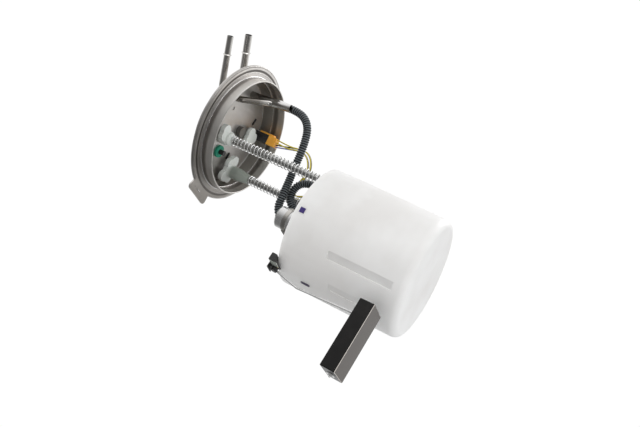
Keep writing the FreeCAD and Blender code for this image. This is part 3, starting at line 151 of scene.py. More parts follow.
def make_camera():
    """The photograph's view."""
    camera = bpy.data.objects.new("camera", bpy.data.cameras.new("camera"))
    bpy.context.scene.collection.objects.link(camera)
    turn = Matrix((VIEW_RIGHT, VIEW_UP, VIEW_NEAR)).transposed().to_4x4()
    camera.matrix_world = Matrix.Translation(CAMERA_PLACE) @ turn
    camera.data.sensor_width = SENSOR_WIDTH
    camera.data.lens = SENSOR_WIDTH * FOCAL_PIXELS / IMAGE_WIDTH
    camera.data.clip_start = CLIP_START
    bpy.context.scene.camera = camera


def in_view(shares):
    """A direction in the model's frame, from its shares of the view's right, up and near ways."""
    right, up, near = shares
    return VIEW_RIGHT * right + VIEW_UP * up + VIEW_NEAR * near


def add_light(name, shares, distance, size, power, glossy, colour):
    """A soft square light that faces the model's middle."""
    light = bpy.data.lights.new(name, "AREA")
    light.size = size
    light.energy = power
    light.color = colour
    lamp = bpy.data.objects.new(name, light)
    bpy.context.scene.collection.objects.link(lamp)
    place = MIDDLE + in_view(shares) * distance
    lamp.location = place
    lamp.rotation_euler = (MIDDLE - place).to_track_quat("-Z", "Y").to_euler()
    lamp.visible_camera = False
    lamp.visible_glossy = glossy


def backdrop(studio, strengths, shares):
    """A strength that rises smoothly from its least, opposite to a direction, to its greatest along it."""
    place = studio.add("ShaderNodeTexCoord").outputs["Generated"]
    along = studio.dot(place, in_view(shares).normalized())
    return studio.between(along, -BACKDROP_FADE, BACKDROP_FADE, *strengths, interpolation="SMOOTHSTEP")


def choose(studio, factor, first, second):
    """The first strength, or the second where the factor is one."""
    node = studio.add("ShaderNodeMix")
    studio.link(factor, node.inputs["Factor"])
    studio.feed(first, node.inputs["A"])
    studio.feed(second, node.inputs["B"])
    return node.outputs["Result"]


def make_world():
    """A white backdrop: even light for the plastics, and a darker near side for the metal to reflect."""
    world = bpy.data.worlds.new("studio")
    bpy.context.scene.world = world
    world.use_nodes = True
    studio = Nodes(world.node_tree)
    background = studio.tree.nodes["Background"]
    ray = studio.add("ShaderNodeLightPath").outputs
    glossy = backdrop(studio, *GLOSSY_BACKDROP)
    diffuse = backdrop(studio, *DIFFUSE_BACKDROP)
    strength = choose(studio, ray["Is Diffuse Ray"], glossy, diffuse)
    strength = choose(studio, ray["Is Camera Ray"], strength, SEEN_BACKDROP)
    studio.link(strength, background.inputs["Strength"])
    background.inputs["Color"].default_value = (*WHITE, 1.0)


def make_studio():
    make_camera()
    for name, settings in LIGHTS.items():
        add_light(name, *settings)
    make_world()
    bpy.context.scene.view_settings.view_transform = "Standard"


# Materials

# Most of a noise's values lie between these two.
NOISE_SPAN = (0.3, 0.7)
# The scales of a noise along X, Y and Z: a small one draws it out along that axis.
DRAWN_ALONG_Z = (1.0, 1.0, 0.06)
STREAKED_ALONG_Z = (1.0, 1.0, 0.12)
FLOWED_ALONG_Z = (1.0, 1.0, 0.3)
BRUSHED_ALONG_Y = (1.0, 0.15, 1.0)
UNSTRETCHED = (1.0, 1.0, 1.0)

# Where the cover's steel and its inner tubes carry painted shade and a painted reflection, in millimetres:
# distances from the cover's axis, heights along it, and the X between which the painted shade on lower faces
# fades out.
LIP_GROOVE = (69.9, 71.8)
COLLAR_WALL = (62.0, 64.6)
COLLAR_ROOT = (-4.0, -0.6)
COLLAR_EDGE = (-16.0, -8.5)
DOME_WALL = (57.0, 64.0)
DOME_WALL_HEIGHTS = (1.5, 12.5)
INNER_SHADE_HEIGHTS = (-9.0, 12.0)
SIDE_SHADE_X = (-75.0, -25.0)

FLANGE_STEEL = (0.79, 0.76, 0.73)
DOME_STEEL = (0.68, 0.66, 0.635)
TUBE_STEEL = (0.72, 0.70, 0.67)
BRIGHT_STEEL = (0.80, 0.79, 0.78)
CLEAR_WHITE = (0.70, 0.73, 0.70)
CARD_CERAMIC = (0.52, 0.55, 0.50)


class Look(Nodes):
    """A procedural material whose patterns lie in the object's own space."""

    def __init__(self, name, colour, roughness, metallic=0.0, specular=0.5):
        self.material = bpy.data.materials.new(name)
        self.material.use_nodes = True
        super().__init__(self.material.node_tree)
        self.shader = self.tree.nodes["Principled BSDF"]
        self.colour = colour
        self.roughness = roughness
        self.give("Base Color", (*colour, 1.0))
        self.give("Roughness", roughness)
        self.give("Metallic", metallic)
        self.give("Specular IOR Level", specular)
        self.place = self.add("ShaderNodeTexCoord").outputs["Object"]
        self.shade = None
        self.relief = None

    def give(self, socket, value):
        """Set one of the surface's sockets, or link an output to it."""
        self.feed(value, self.shader.inputs[socket])

    def stretched(self, stretch):
        """The object's space, scaled differently along its axes."""
        mapping = self.add("ShaderNodeMapping")
        mapping.inputs["Scale"].default_value = stretch
        self.link(self.place, mapping.inputs["Vector"])
        return mapping.outputs["Vector"]

    def noise(self, scale, detail, place=None):
        node = self.add("ShaderNodeTexNoise")
        node.inputs["Scale"].default_value = scale
        node.inputs["Detail"].default_value = detail
        self.link(place or self.place, node.inputs["Vector"])
        return node.outputs["Fac"]

    def cells(self, scale):
        """The distance from the middle of the nearest of many small cells."""
        node = self.add("ShaderNodeTexVoronoi")
        node.inputs["Scale"].default_value = scale
        self.link(self.place, node.inputs["Vector"])
        return node.outputs["Distance"]

    def waves(self, axis, scale, distortion=0.0):
        """Even bands across one axis."""
        node = self.add("ShaderNodeTexWave", bands_direction=axis)
        node.inputs["Scale"].default_value = scale
        node.inputs["Distortion"].default_value = distortion
        self.link(self.place, node.inputs["Vector"])
        return node.outputs["Fac"]

    def axes(self):
        """The object's X, Y and Z."""
        split = self.add("ShaderNodeSeparateXYZ")
        self.link(self.place, split.inputs["Vector"])
        return split.outputs

    def radius_and_height(self):
        """The distance from the cover's axis, and the height along it."""
        x, y, height = self.axes()
        squares = self.formula("ADD", self.product(x, x), self.product(y, y))
        return self.formula("POWER", squares, 0.5), height

    def band(self, source, span, edge):
        """One between two values given in millimetres, with a soft edge outside each."""
        low, high = span
        rise = self.between(source, (low - edge) * MM, low * MM)
        fall = self.between(source, high * MM, (high + edge) * MM, 1.0, 0.0)
        return self.product(rise, fall)

    def facing_down(self):
        """How far the surface faces down in the object's own space, from -1 to 1."""
        return self.dot(self.add("ShaderNodeTexCoord").outputs["Normal"], (0.0, 0.0, -1.0))

    def inside_bore(self, mouth, way, radius, depth):
        """One inside a straight bore that runs back from its mouth, given in millimetres."""
        moved = self.add("ShaderNodeVectorMath", operation="SUBTRACT")
        self.link(self.place, moved.inputs[0])
        moved.inputs[1].default_value = tuple(value * MM for value in mouth)
        from_mouth = moved.outputs["Vector"]
        along = self.dot(from_mouth, way)
        across = self.formula("SUBTRACT", self.dot(from_mouth, from_mouth), self.product(along, along))
        near = self.formula("LESS_THAN", across, (radius * MM) ** 2)
        deep = self.formula("GREATER_THAN", along, -depth * MM)
        return self.product(near, deep)

    def blend_colour(self, factor, first, second):
        """A colour between two colours or colour outputs."""
        node = self.add("ShaderNodeMix", data_type="RGBA")
        self.link(factor, node.inputs["Factor"])
        for value, name in ((first, "A"), (second, "B")):
            socket = [item for item in node.inputs if item.name == name and item.type == "RGBA"][0]
            self.feed((*value, 1.0) if isinstance(value, tuple) else value, socket)
        return [item for item in node.outputs if item.type == "RGBA"][0]

    def paint(self, colour):
        """Make a colour output the surface's shade."""
        self.shade = colour
        self.give("Base Color", colour)

    def tone(self, factor, colour):
        """Change the shade to a colour where the factor is one."""
        self.paint(self.blend_colour(factor, self.shade, colour))

    def tint(self, scale, spread):
        """Vary the base colour a little with a noise."""
        dark = tuple(value * (1 - 1.2 * spread) for value in self.colour)
        light = tuple(min(value * (1 + spread), 1.0) for value in self.colour)
        self.paint(self.blend_colour(self.between(self.noise(scale, 4.0), *NOISE_SPAN), dark, light))

    def paint_side_shade(self, colour):
        """Painted shade: change the colour to a darker one on lower faces, towards the cover's -X side."""
        start, end = SIDE_SHADE_X
        side = self.between(self.axes()["X"], start * MM, end * MM, 0.9, 0.0)
        self.tone(self.product(side, self.between(self.facing_down(), 0.3, 0.9)), colour)

    def vary_roughness(self, scale, spread):
        low = max(self.roughness - spread, 0.03)
        high = min(self.roughness + spread, 1.0)
        self.give("Roughness", self.between(self.noise(scale, 3.0), *NOISE_SPAN, low, high))

    def bump(self, height, depth, strength):
        """Add a height to the surface, depth metres deep."""
        node = self.add("ShaderNodeBump")
        node.inputs["Distance"].default_value = depth
        node.inputs["Strength"].default_value = strength
        self.link(height, node.inputs["Height"])
        if self.relief:
            self.link(self.relief, node.inputs["Normal"])
        self.relief = node.outputs["Normal"]
        self.give("Normal", self.relief)

    def grain(self, scale, detail, depth, strength, stretch=None):
        """Roughen the surface with a noise, depth metres deep."""
        place = self.stretched(stretch) if stretch else None
        self.bump(self.noise(scale, detail, place), depth, strength)

    def let_light_in(self, weight, radius, scale):
        """Scatter light under the surface, over up to scale metres times each colour's radius."""
        self.give("Subsurface Weight", weight)
        self.give("Subsurface Radius", radius)
        self.give("Subsurface Scale", scale)


def sheet_steel(name, colour, roughness, metallic=1.0):
    """Plated sheet with a fine satin grain, faint blotches and light scuffs."""
    look = Look(name, colour, roughness, metallic)
    dull = tuple(value * 0.80 for value in colour)
    bright = tuple(min(value * 1.22, 1.0) for value in colour)
    look.paint(look.blend_colour(look.between(look.noise(38.0, 4.0), 0.35, 0.68), dull, colour))
    scuffs = look.noise(160.0, 6.0, look.stretched(BRUSHED_ALONG_Y))
    look.tone(look.between(scuffs, 0.60, 0.72, 0.0, 0.35), bright)
    look.vary_roughness(70.0, 0.07)
    look.grain(2600.0, 2.0, depth=0.00003, strength=0.35)
    look.grain(240.0, 3.0, depth=0.00008, strength=0.25)
    return look


def flange_look():
    """The stamped ring: painted shade in the groove round its lip and at its collar's root, and a painted
    reflection along the collar's lower edge.
    """
    look = sheet_steel("flange_steel", FLANGE_STEEL, 0.38, metallic=0.88)
    radius, height = look.radius_and_height()
    collar = look.band(radius, COLLAR_WALL, 0.4)
    # Painted shade on the lower faces towards -X.
    look.paint_side_shade((0.27, 0.25, 0.225))
    # Painted shade in the groove round the lip.
    look.tone(look.band(radius, LIP_GROOVE, 0.5), (0.14, 0.13, 0.12))
    # Painted shade at the collar's root.
    look.tone(look.product(collar, look.band(height, COLLAR_ROOT, 2.5)), (0.26, 0.24, 0.225))
    # Painted reflection along the collar's lower edge.
    look.tone(look.product(collar, look.band(height, COLLAR_EDGE, 2.5)), (0.68, 0.66, 0.63))
    return look


def dome_look():
    """The stamped dome, with painted shade on its conical wall."""
    look = sheet_steel("dome_steel", DOME_STEEL, 0.40, metallic=0.90)
    radius, height = look.radius_and_height()
    wall = look.product(look.band(radius, DOME_WALL, 0.6), look.band(height, DOME_WALL_HEIGHTS, 1.0))
    # Painted shade on the lower faces towards -X.
    look.paint_side_shade((0.30, 0.28, 0.26))
    # Painted shade on the conical wall.
    look.tone(wall, (0.35, 0.33, 0.305))
    return look


def drawn_steel(name, colour, roughness, metallic=1.0, stretch=DRAWN_ALONG_Z, bores=()):
    """Tube, rod or spring steel with fine drawing lines along it, and painted shade inside its bores."""
    look = Look(name, colour, roughness, metallic)
    look.tint(60.0, 0.10)
    # Painted shade inside each bore.
    for bore in bores:
        look.tone(look.inside_bore(*bore), (0.02, 0.02, 0.02))
    look.vary_roughness(90.0, 0.06)
    look.grain(3200.0, 2.0, depth=0.00002, strength=0.35, stretch=stretch)
    look.grain(300.0, 3.0, depth=0.00005, strength=0.2)
    return look


def inner_tube(name, bores):
    """A bent tube, with painted shade where it runs inside the dome."""
    look = drawn_steel(name, TUBE_STEEL, 0.20, bores=bores)
    height = look.radius_and_height()[1]
    # Painted shade where the tube runs inside the dome.
    inner_shade = look.between(look.band(height, INNER_SHADE_HEIGHTS, 4.0), 0.0, 1.0, 0.0, 0.75)
    look.tone(inner_shade, (0.20, 0.175, 0.15))
    return look


def moulded(name, colour, roughness, spread=0.10, grain=1400.0, depth=0.00003, glow=0.0):
    """Moulded plastic: a soft tone change, a fine grain and faint flow marks."""
    look = Look(name, colour, roughness)
    look.tint(55.0, spread)
    look.vary_roughness(45.0, 0.06)
    look.grain(grain, 3.0, depth, strength=0.4)
    look.grain(70.0, 2.0, depth=0.0002, strength=0.15, stretch=FLOWED_ALONG_Z)
    if glow:
        look.let_light_in(glow, (1.0, 0.95, 0.9), 0.004)
    return look


def retainer_look():
    """White lobes on a barrel with painted shade where the dark rod behind it shows through."""
    look = moulded("clear_retainer", CLEAR_WHITE, 0.38, 0.05, glow=0.3)
    height = look.radius_and_height()[1]
    # Painted shade below the lobes, for the rod seen through the barrel.
    look.tone(look.between(height, -1.0 * MM, 3.0 * MM, 1.0, 0.0), (0.27, 0.30, 0.27))
    return look


def rubber(name, colour):
    look = Look(name, colour, 0.62, specular=0.35)
    look.tint(90.0, 0.12)
    look.vary_roughness(60.0, 0.08)
    look.grain(1800.0, 2.0, depth=0.00004, strength=0.4)
    return look


def hose_look(name, colour):
    """Corrugated nylon hose: slate black with a soft sheen."""
    look = Look(name, colour, 0.38)
    look.tint(220.0, 0.25)
    look.vary_roughness(160.0, 0.08)
    look.grain(1500.0, 2.0, depth=0.00003, strength=0.4)
    return look


def cup_look():
    """Milky acetal: bright and soft, with darker clouds and a few pale streaks."""
    look = Look("milky_cup", (0.86, 0.87, 0.86), 0.42)
    cloud = look.between(look.noise(13.0, 3.0), 0.38, 0.64)
    look.paint(look.blend_colour(cloud, (0.79, 0.78, 0.765), (0.92, 0.925, 0.92)))
    streak = look.noise(30.0, 3.0, look.stretched(STREAKED_ALONG_Z))
    look.tone(look.between(streak, 0.45, 0.75, 0.0, 0.3), (0.94, 0.945, 0.94))
    look.let_light_in(0.55, (1.0, 1.0, 1.0), 0.012)
    look.give("Coat Weight", 0.12)
    look.give("Coat Roughness", 0.3)
    look.vary_roughness(40.0, 0.06)
    look.grain(18.0, 2.0, depth=0.0008, strength=0.35)
    look.grain(900.0, 3.0, depth=0.00003, strength=0.3)
    return look


def foam_look():
    """Closed-cell foam: black with fine pores, with painted light on its lower face and a painted highlight
    along the edge round it.
    """
    look = Look("float_foam", (0.005, 0.004, 0.003), 0.18, specular=0.38)
    blotch = look.between(look.noise(120.0, 5.0), 0.42, 0.66)
    look.paint(look.blend_colour(blotch, (0.002, 0.0016, 0.0013), (0.004, 0.003, 0.0025)))
    cells = look.cells(900.0)
    look.tone(look.between(cells, 0.05, 0.30, 1.0, 0.0), (0.002, 0.002, 0.002))
    facing = look.facing_down()
    # Painted light on the lower face.
    look.tone(look.between(facing, 0.80, 0.92), (0.070, 0.060, 0.053))
    # Painted highlight along the rounded edge between the faces.
    edge = look.product(look.between(facing, 0.30, 0.45), look.between(facing, 0.80, 0.92, 1.0, 0.0))
    look.tone(edge, (0.62, 0.58, 0.54))
    look.vary_roughness(200.0, 0.05)
    look.bump(cells, 0.00005, 0.3)
    look.grain(60.0, 3.0, depth=0.0002, strength=0.15)
    return look


def mesh_look():
    """The strainer's woven sock."""
    look = Look("strainer_sock", (0.78, 0.78, 0.74), 0.85)
    weave = look.product(look.waves("X", 420.0), look.waves("Y", 420.0))
    look.paint(look.blend_colour(weave, (0.45, 0.45, 0.42), (0.84, 0.84, 0.80)))
    look.bump(weave, 0.0002, 0.6)
    return look


def winding_look():
    """The armature: copper windings under varnish."""
    look = Look("armature_winding", (0.52, 0.27, 0.12), 0.35, 0.8)
    turns = look.waves("Z", 300.0, distortion=2.0)
    look.paint(look.blend_colour(turns, (0.30, 0.14, 0.06), (0.66, 0.36, 0.17)))
    look.bump(turns, 0.0002, 0.6)
    return look


def card_look():
    """The resistor card: pale ceramic with printed tracks."""
    look = Look("resistor_print", CARD_CERAMIC, 0.35)
    track = look.between(look.waves("Z", 260.0), 0.45, 0.55)
    look.paint(look.blend_colour(track, (0.10, 0.12, 0.11), CARD_CERAMIC))
    look.bump(track, 0.00004, 0.5)
    return look


def make_looks():
    """One material for each of the record's slots."""
    return {
        "cover_steel": sheet_steel("cover_steel", (0.58, 0.56, 0.54), 0.40),
        "tube_steel": drawn_steel("tube_steel", (0.56, 0.54, 0.51), 0.30),
        "ferrule_steel": drawn_steel("ferrule_steel", BRIGHT_STEEL, 0.20),
        "spring_steel": drawn_steel("spring_steel", (0.93, 0.935, 0.93), 0.20, 0.82, UNSTRETCHED),
        "rod_steel": drawn_steel("rod_steel", (0.55, 0.55, 0.54), 0.25),
        "white_plastic": moulded("white_acetal", CLEAR_WHITE, 0.40, 0.05, glow=0.3),
        "cup_plastic": cup_look(),
        "black_plastic": moulded("black_nylon", (0.020, 0.019, 0.019), 0.38, 0.25),
        "yellow_plastic": moulded("yellow_nylon", (0.90, 0.43, 0.055), 0.42, 0.10, glow=0.1),
        "green_rubber": rubber("green_rubber", (0.02, 0.27, 0.17)),
        "black_rubber": rubber("black_rubber", (0.018, 0.018, 0.018)),
        "hose_plastic": hose_look("hose_nylon", (0.094, 0.108, 0.117)),
        "wire_yellow": moulded("yellow_insulation", (0.62, 0.52, 0.05), 0.33, 0.08),
        "wire_black": moulded("black_insulation", (0.030, 0.029, 0.035), 0.33, 0.15),
        "wire_purple": moulded("purple_insulation", (0.26, 0.25, 0.52), 0.33, 0.10),
        "purple_plastic": moulded("purple_nylon", (0.040, 0.022, 0.15), 0.38, 0.12),
        "chrome_can": sheet_steel("bright_can", (0.95, 0.95, 0.945), 0.11, metallic=0.88),
        "pump_steel": sheet_steel("pump_steel", (0.50, 0.50, 0.49), 0.35),
        "magnet": moulded("ferrite", (0.035, 0.035, 0.037), 0.7, 0.2, grain=2400.0, depth=0.00006),
        "copper_core": winding_look(),
        "strainer_mesh": mesh_look(),
        "card_ceramic": card_look(),
        "foam": foam_look(),
        "brass_leaf": drawn_steel("brass_leaf", (0.72, 0.55, 0.26), 0.28),
    }


# Each open tube end: its mouth in millimetres, and the direction in which it opens.
SUPPLY_END = ((99.6, -21.9, 30.0), (0.8712, -0.4909, 0.0))
VAPOUR_END = ((85.2, -50.6, 30.0), (0.8931, -0.4499, 0.0))
VAPOUR_MOUTH = ((47.4, 4.0, -40.0), (0.1348, 0.0, -0.9909))
# The bores behind those ends, with painted shade inside, and their radius and depth.
SUPPLY_BORE = (*SUPPLY_END, 3.6, 45.0)
VAPOUR_BORE = (*VAPOUR_END, 3.0, 45.0)
STUB_BORE = (*VAPOUR_MOUTH, 3.0, 22.0)
SLEEVE_BORE = (*VAPOUR_MOUTH, 3.6, 22.0)


def own_looks():
    """Looks of pieces that differ from others in their slot."""
    return {
        "flange_ring": flange_look(),
        "cover_pan": dome_look(),
        "supply_tube": inner_tube("supply_tube_steel", [SUPPLY_BORE]),
        "vapour_tube": inner_tube("vapour_tube_steel", [VAPOUR_BORE, STUB_BORE]),
        "vapour_sleeve": drawn_steel("sleeve_steel", BRIGHT_STEEL, 0.20, bores=[SLEEVE_BORE]),
        # Painted shade: the boss takes a darker copy of the cover's steel.
        "weld_boss": sheet_steel("shaded_boss_steel", (0.27, 0.26, 0.245), 0.5),
        "wall_plug": moulded("dark_plug", (0.050, 0.036, 0.085), 0.4, 0.12),
        "rod_retainer_b": retainer_look(),
    }


def dress_nodes():
    """Give every model node its own look, or the look of its slot in the record."""
    own = own_looks()
    for part in frame["record"]["subparts"]:
        name = part["node"]
        look = own.get(name) or looks[part["material_slot"]]
        piece = nodes[name]
        piece.data.materials.clear()
        piece.data.materials.append(look.material)


# Tubes that follow a smooth line

SPLINE_ORDER = 3
SPLINE_STEPS = 16


def smooth_line(name, points):
    """Points along the smooth spline through a route of control points, given in millimetres."""
    curve = bpy.data.curves.new(name + "_line", "CURVE")
    curve.dimensions = "3D"
    spline = curve.splines.new("NURBS")
    spline.points.add(len(points) - 1)
    for control, point in zip(spline.points, points):
        control.co = (*(value * MM for value in point), 1.0)
    spline.order_u = SPLINE_ORDER
    spline.use_endpoint_u = True
    spline.resolution_u = SPLINE_STEPS
    holder = bpy.data.objects.new(name + "_line", curve)
    mesh = bpy.data.meshes.new_from_object(holder)
    line = [vertex.co.copy() for vertex in mesh.vertices]
    bpy.data.objects.remove(holder)
    bpy.data.curves.remove(curve)
    bpy.data.meshes.remove(mesh)
    return line


def line_length(line):
    return sum((after - before).length for before, after in zip(line, line[1:]))


def evenly(line, count):
    """Points at equal steps along a line, with the direction at each."""
    total = line_length(line)
    placed = []
    index = 0
    passed = 0.0
    step = line[1] - line[0]
    for number in range(count + 1):
        wanted = total * number / count
        while index < len(line) - 2 and passed + step.length < wanted:
            passed += step.length
            index += 1
            step = line[index + 1] - line[index]
        share = (wanted - passed) / step.length
        placed.append((line[index] + step * share, step.normalized()))
    return placed


def make_piece(name, vertices, faces):
    """A smooth-shaded object of its own vertices and faces."""
    mesh = bpy.data.meshes.new(name)
    mesh.from_pydata([tuple(vertex) for vertex in vertices], [], faces)
    mesh.update()
    piece = bpy.data.objects.new(name, mesh)
    bpy.context.scene.collection.objects.link(piece)
    for face in mesh.polygons:
        face.use_smooth = True
    return piece


def tube_mesh(name, line, steps, sides, radius_at):
    """A closed tube round a line; radius_at gives its radius for a share of the length."""
    placed = evenly(line, steps)
    across = placed[0][1].orthogonal().normalized()
    vertices = []
    faces = []
    for number, (point, way) in enumerate(placed):
        across = (across - way * across.dot(way)).normalized()
        other = way.cross(across)
        radius = radius_at(number / steps)
        for side in range(sides):
            angle = 2 * math.pi * side / sides
            vertices.append(point + (across * math.cos(angle) + other * math.sin(angle)) * radius)
    for number in range(steps):
        near = number * sides
        far = near + sides
        for side in range(sides):
            following = (side + 1) % sides
            faces.append((near + side, near + following, far + following, far + side))
    faces.append(tuple(reversed(range(sides))))
    faces.append(tuple(range(steps * sides, (steps + 1) * sides)))
    return make_piece(name, vertices, faces)


def dress(piece, slot):
    piece.data.materials.append(looks[slot].material)


# Hoses and wires

# The routes are in millimetres.
MAIN_HOSE = [
    (48.3, 15.0, -33.1), (48.3, 15.0, -44.7), (44.0, 14.0, -56.4), (35.0, 12.5, -64.6),
    (22.6, 10.5, -68.8), (7.3, 8.0, -71.7), (-8.9, 5.5, -73.3), (-24.9, 2.5, -75.8),
    (-40.0, -3.5, -79.2), (-53.0, -6.5, -81.0), (-60.8, -8.2, -88.2), (-62.2, -8.5, -98.5),
    (-62.0, -8.5, -109.9), (-62.0, -8.5, -120.9),
]
JET_HOSE = [
    (-50.0, 7.0, -120.9), (-50.0, 7.0, -109.4), (-49.6, 7.0, -97.5), (-46.0, 7.5, -87.0),
    (-36.5, 9.5, -80.3), (-25.5, 13.2, -80.8), (-18.5, 15.0, -87.5), (-16.9, 15.0, -98.0),
    (-17.0, 15.0, -109.4), (-17.0, 15.0, -120.9),
]
# Each point of the wires' trunk carries the bundle's spread there.
WIRE_TRUNK = [
    (10.8, 45.5, -37.0, 1.3), (13.3, 43.0, -51.0, 1.0), (12.8, 39.5, -63.0, 1.0),
    (5.0, 34.5, -73.5, 1.0), (-7.0, 32.0, -78.5, 1.0), (-22.0, 30.0, -74.5, 1.0),
    (-34.5, 29.5, -70.5, 1.2), (-37.5, 29.0, -76.0, 1.6), (-35.0, 28.0, -84.0, 2.2),
    (-31.0, 25.0, -94.0, 1.9), (-29.0, 22.5, -104.0, 1.0),
]
# Each wire's place along the plug, its offset from the trunk where the spread is one, and its slot.
WIRES = {
    "wire_yellow_a": (4.2, (1.25, -1.1, -1.25), "wire_yellow"),
    "wire_yellow_b": (1.0, (-1.25, -1.1, 1.25), "wire_yellow"),
    "wire_black": (-1.8, (1.25, 1.1, -1.25), "wire_black"),
    "wire_purple": (-4.2, (-1.25, 1.1, 1.25), "wire_purple"),
}
# Where the wires leave the plug under the dome, and where they enter the connector on the lid, with their
# spread there.
PLUG_END = (10.0, 48.5, -18.75)
CONNECTOR_END = (-28.5, 22.0, -113.65)
CONNECTOR_SPREAD = (1.6, 1.4)
WIRE_RADIUS = 0.75 * MM
WIRE_STEPS = 150
WIRE_SIDES = 12

HOSE_RADIUS = 4.5 * MM
HOSE_VALLEY = 3.35 * MM
HOSE_SIDES = 28
RIB_PITCH = 2.6 * MM
# The steps of each rib, and those of them that lie in its valleys and take the look with painted shade.
RIB_STEPS = 8
VALLEY_STEPS = (0, 1, 6, 7)
RIB_ROUNDNESS = 0.7
CUFF_LENGTH = 0.4 * RIB_PITCH
CUFF_RADIUS = 0.97 * HOSE_RADIUS


def corrugated(name, route):
    """A hose with rounded ribs all along it and plain cuffs at its two ends."""
    line = smooth_line(name, route)
    length = line_length(line)
    ribs = round(length / RIB_PITCH)

    def radius_at(share):
        if min(share, 1 - share) * length < CUFF_LENGTH:
            return CUFF_RADIUS
        wave = 0.5 - 0.5 * math.cos(2 * math.pi * ribs * share)
        return HOSE_VALLEY + (HOSE_RADIUS - HOSE_VALLEY) * wave ** RIB_ROUNDNESS

    steps = ribs * RIB_STEPS
    piece = tube_mesh(name, line, steps, HOSE_SIDES, radius_at)
    dress(piece, "hose_plastic")
    # Painted shade in the valleys between the ribs.
    piece.data.materials.append(valley_shade_look.material)
    for face in piece.data.polygons[:steps * HOSE_SIDES]:
        across_rib = (face.index // HOSE_SIDES) % RIB_STEPS
        face.material_index = 1 if across_rib in VALLEY_STEPS else 0
    return piece, line


def make_hoses():
    """The hose from the cover to the lid, and the short arch from lid to lid."""
    main, line = corrugated("corrugated_hose", MAIN_HOSE)
    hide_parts("main_hose")
    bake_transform(main)
    jet, line = corrugated("jet_hose_ribbed", JET_HOSE)
    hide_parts("jet_hose")
    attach(jet, "reservoir")


def wire_route(terminal, offset):
    """The bundle's route moved to one wire's place, between its two terminals."""
    moved = [(x + offset[0] * spread, y + offset[1] * spread, z + offset[2] * spread)
             for x, y, z, spread in WIRE_TRUNK]
    start = (PLUG_END[0] + terminal, *PLUG_END[1:])
    end = (CONNECTOR_END[0] + offset[0] * CONNECTOR_SPREAD[0],
           CONNECTOR_END[1] + offset[1] * CONNECTOR_SPREAD[1],
           CONNECTOR_END[2])
    return [start] + moved + [end]


def make_wires():
    for name, (terminal, offset, slot) in WIRES.items():
        line = smooth_line(name, wire_route(terminal, offset))
        piece = tube_mesh("insulated_" + name, line, WIRE_STEPS, WIRE_SIDES, lambda share: WIRE_RADIUS)
        dress(piece, slot)
        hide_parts(name)
        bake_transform(piece)


# Springs

# Each spring's axis and the height of its top in millimetres, and the share of its length that is left
# when the cover is fully down.
SPRINGS = {"a": (-10.0, -10.0, -1.2, 0.577), "b": (-40.6, 20.0, -22.7, 0.483)}
SPRING_FOOT = -120.0
SPRING_CLEARANCE = 0.1
# The coil's and the wire's radius, and the rise of one open and of one closed turn.
SPRING_MEAN = 4.9
SPRING_WIRE = 0.6
SPRING_PITCH = 4.33
CLOSED_PITCH = 1.15 * 2 * SPRING_WIRE
STEPS_PER_TURN = 22
SPRING_SIDES = 10


def spring_line(x, y, top):
    """The coil's centre line, with a closed turn at each end."""
    bottom = SPRING_FOOT + SPRING_WIRE + SPRING_CLEARANCE
    height = top - SPRING_WIRE - SPRING_CLEARANCE - bottom
    open_turns = (height - 2 * CLOSED_PITCH) / SPRING_PITCH
    count = int((open_turns + 2) * STEPS_PER_TURN)
    line = []
    for number in range(count + 1):
        turn = (open_turns + 2) * number / count
        rise = min(turn, 1.0) * CLOSED_PITCH
        rise += min(max(turn - 1.0, 0.0), open_turns) * SPRING_PITCH
        rise += max(turn - 1.0 - open_turns, 0.0) * CLOSED_PITCH
        angle = 2 * math.pi * turn
        place = (x + SPRING_MEAN * math.cos(angle), y + SPRING_MEAN * math.sin(angle), bottom + rise)
        line.append(Vector(place) * MM)
    return line


def make_springs():
    for letter, (x, y, top, keep) in SPRINGS.items():
        line = spring_line(x, y, top)
        steps = len(line) - 1
        piece = tube_mesh("coil_spring_" + letter, line, steps, SPRING_SIDES, lambda share: SPRING_WIRE * MM)
        dress(piece, "spring_steel")
        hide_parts("spring_" + letter)
        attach(piece, "reservoir")
        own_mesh(piece)


# Seams and small detail

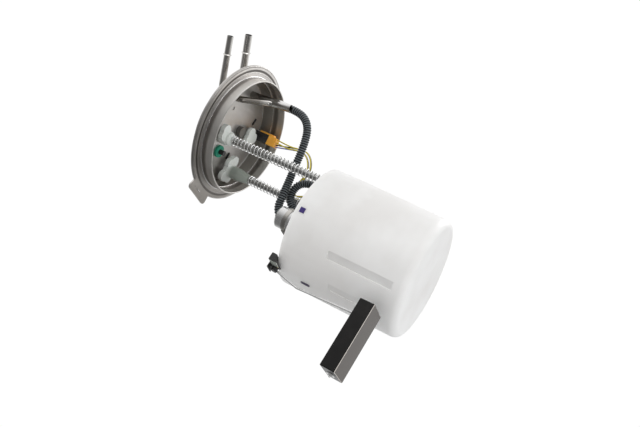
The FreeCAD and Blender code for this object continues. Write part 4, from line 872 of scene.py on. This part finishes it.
# Beads round the cover's axis: radius, height and gauge in millimetres, slot and unevenness.
SEAMS = {
    "end_plate_seam": (57.9, 13.2, 0.4, "ferrule_steel", 0.15),
    "mouth_seam": (61.8, 1.3, 0.4, "ferrule_steel", 0.15),
    "collar_seam": (64.3, -0.3, 0.7, "ferrule_steel", 0.1),
    "lip_ridge": (68.4, 0.1, 0.45, "cover_steel", 0.0),
    "rolled_edge": (75.2, 0.9, 0.75, "cover_steel", 0.0),
}
SEAM_STEPS = 240
SEAM_SIDES = 8

# Two raised marks on the locating tab, each from one end to the other, in millimetres.
TAB_MARKS = [((-70.3, -36.4, -0.1), (-70.7, -35.2, -0.1)), ((-72.2, -31.0, -0.1), (-74.4, -24.4, -0.1))]
TAB_MARK_RADIUS = 0.5 * MM
TAB_MARK_STEPS = 6
TAB_MARK_SIDES = 12


def seam_mesh(name, radius, level, gauge, unevenness):
    """A thin bead round the cover's axis, such as a weld or a rolled edge."""
    vertices = []
    faces = []
    for step in range(SEAM_STEPS):
        turn = 2 * math.pi * step / SEAM_STEPS
        thick = gauge * (1 + unevenness * math.sin(37 * turn) * math.sin(11 * turn + 1.0))
        near = step * SEAM_SIDES
        far = (step + 1) % SEAM_STEPS * SEAM_SIDES
        for side in range(SEAM_SIDES):
            angle = 2 * math.pi * side / SEAM_SIDES
            out = radius + thick * math.cos(angle)
            height = level + thick * math.sin(angle)
            vertices.append(Vector((out * math.cos(turn), out * math.sin(turn), height)) * MM)
            following = (side + 1) % SEAM_SIDES
            faces.append((near + side, far + side, far + following, near + following))
    return make_piece(name, vertices, faces)


def make_seams():
    """Rolled edges and weld lines of the cover, which catch the light."""
    for name, (radius, level, gauge, slot, unevenness) in SEAMS.items():
        piece = seam_mesh(name, radius, level, gauge, unevenness)
        dress(piece, slot)
        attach(piece, "cover")


def make_tab_marks():
    for number, mark in enumerate(TAB_MARKS):
        line = [Vector(end) * MM for end in mark]
        piece = tube_mesh("tab_mark_" + str(number), line, TAB_MARK_STEPS, TAB_MARK_SIDES,
                          lambda share: TAB_MARK_RADIUS)
        dress(piece, "ferrule_steel")
        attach(piece, "cover")


looks = make_looks()
# A darker copy of the hose's look: painted shade for the valleys between its ribs.
valley_shade_look = hose_look("hose_valley_shade", (0.005, 0.006, 0.006))
make_studio()
dress_nodes()
make_hoses()
make_wires()
make_springs()
make_seams()
make_tab_marks()
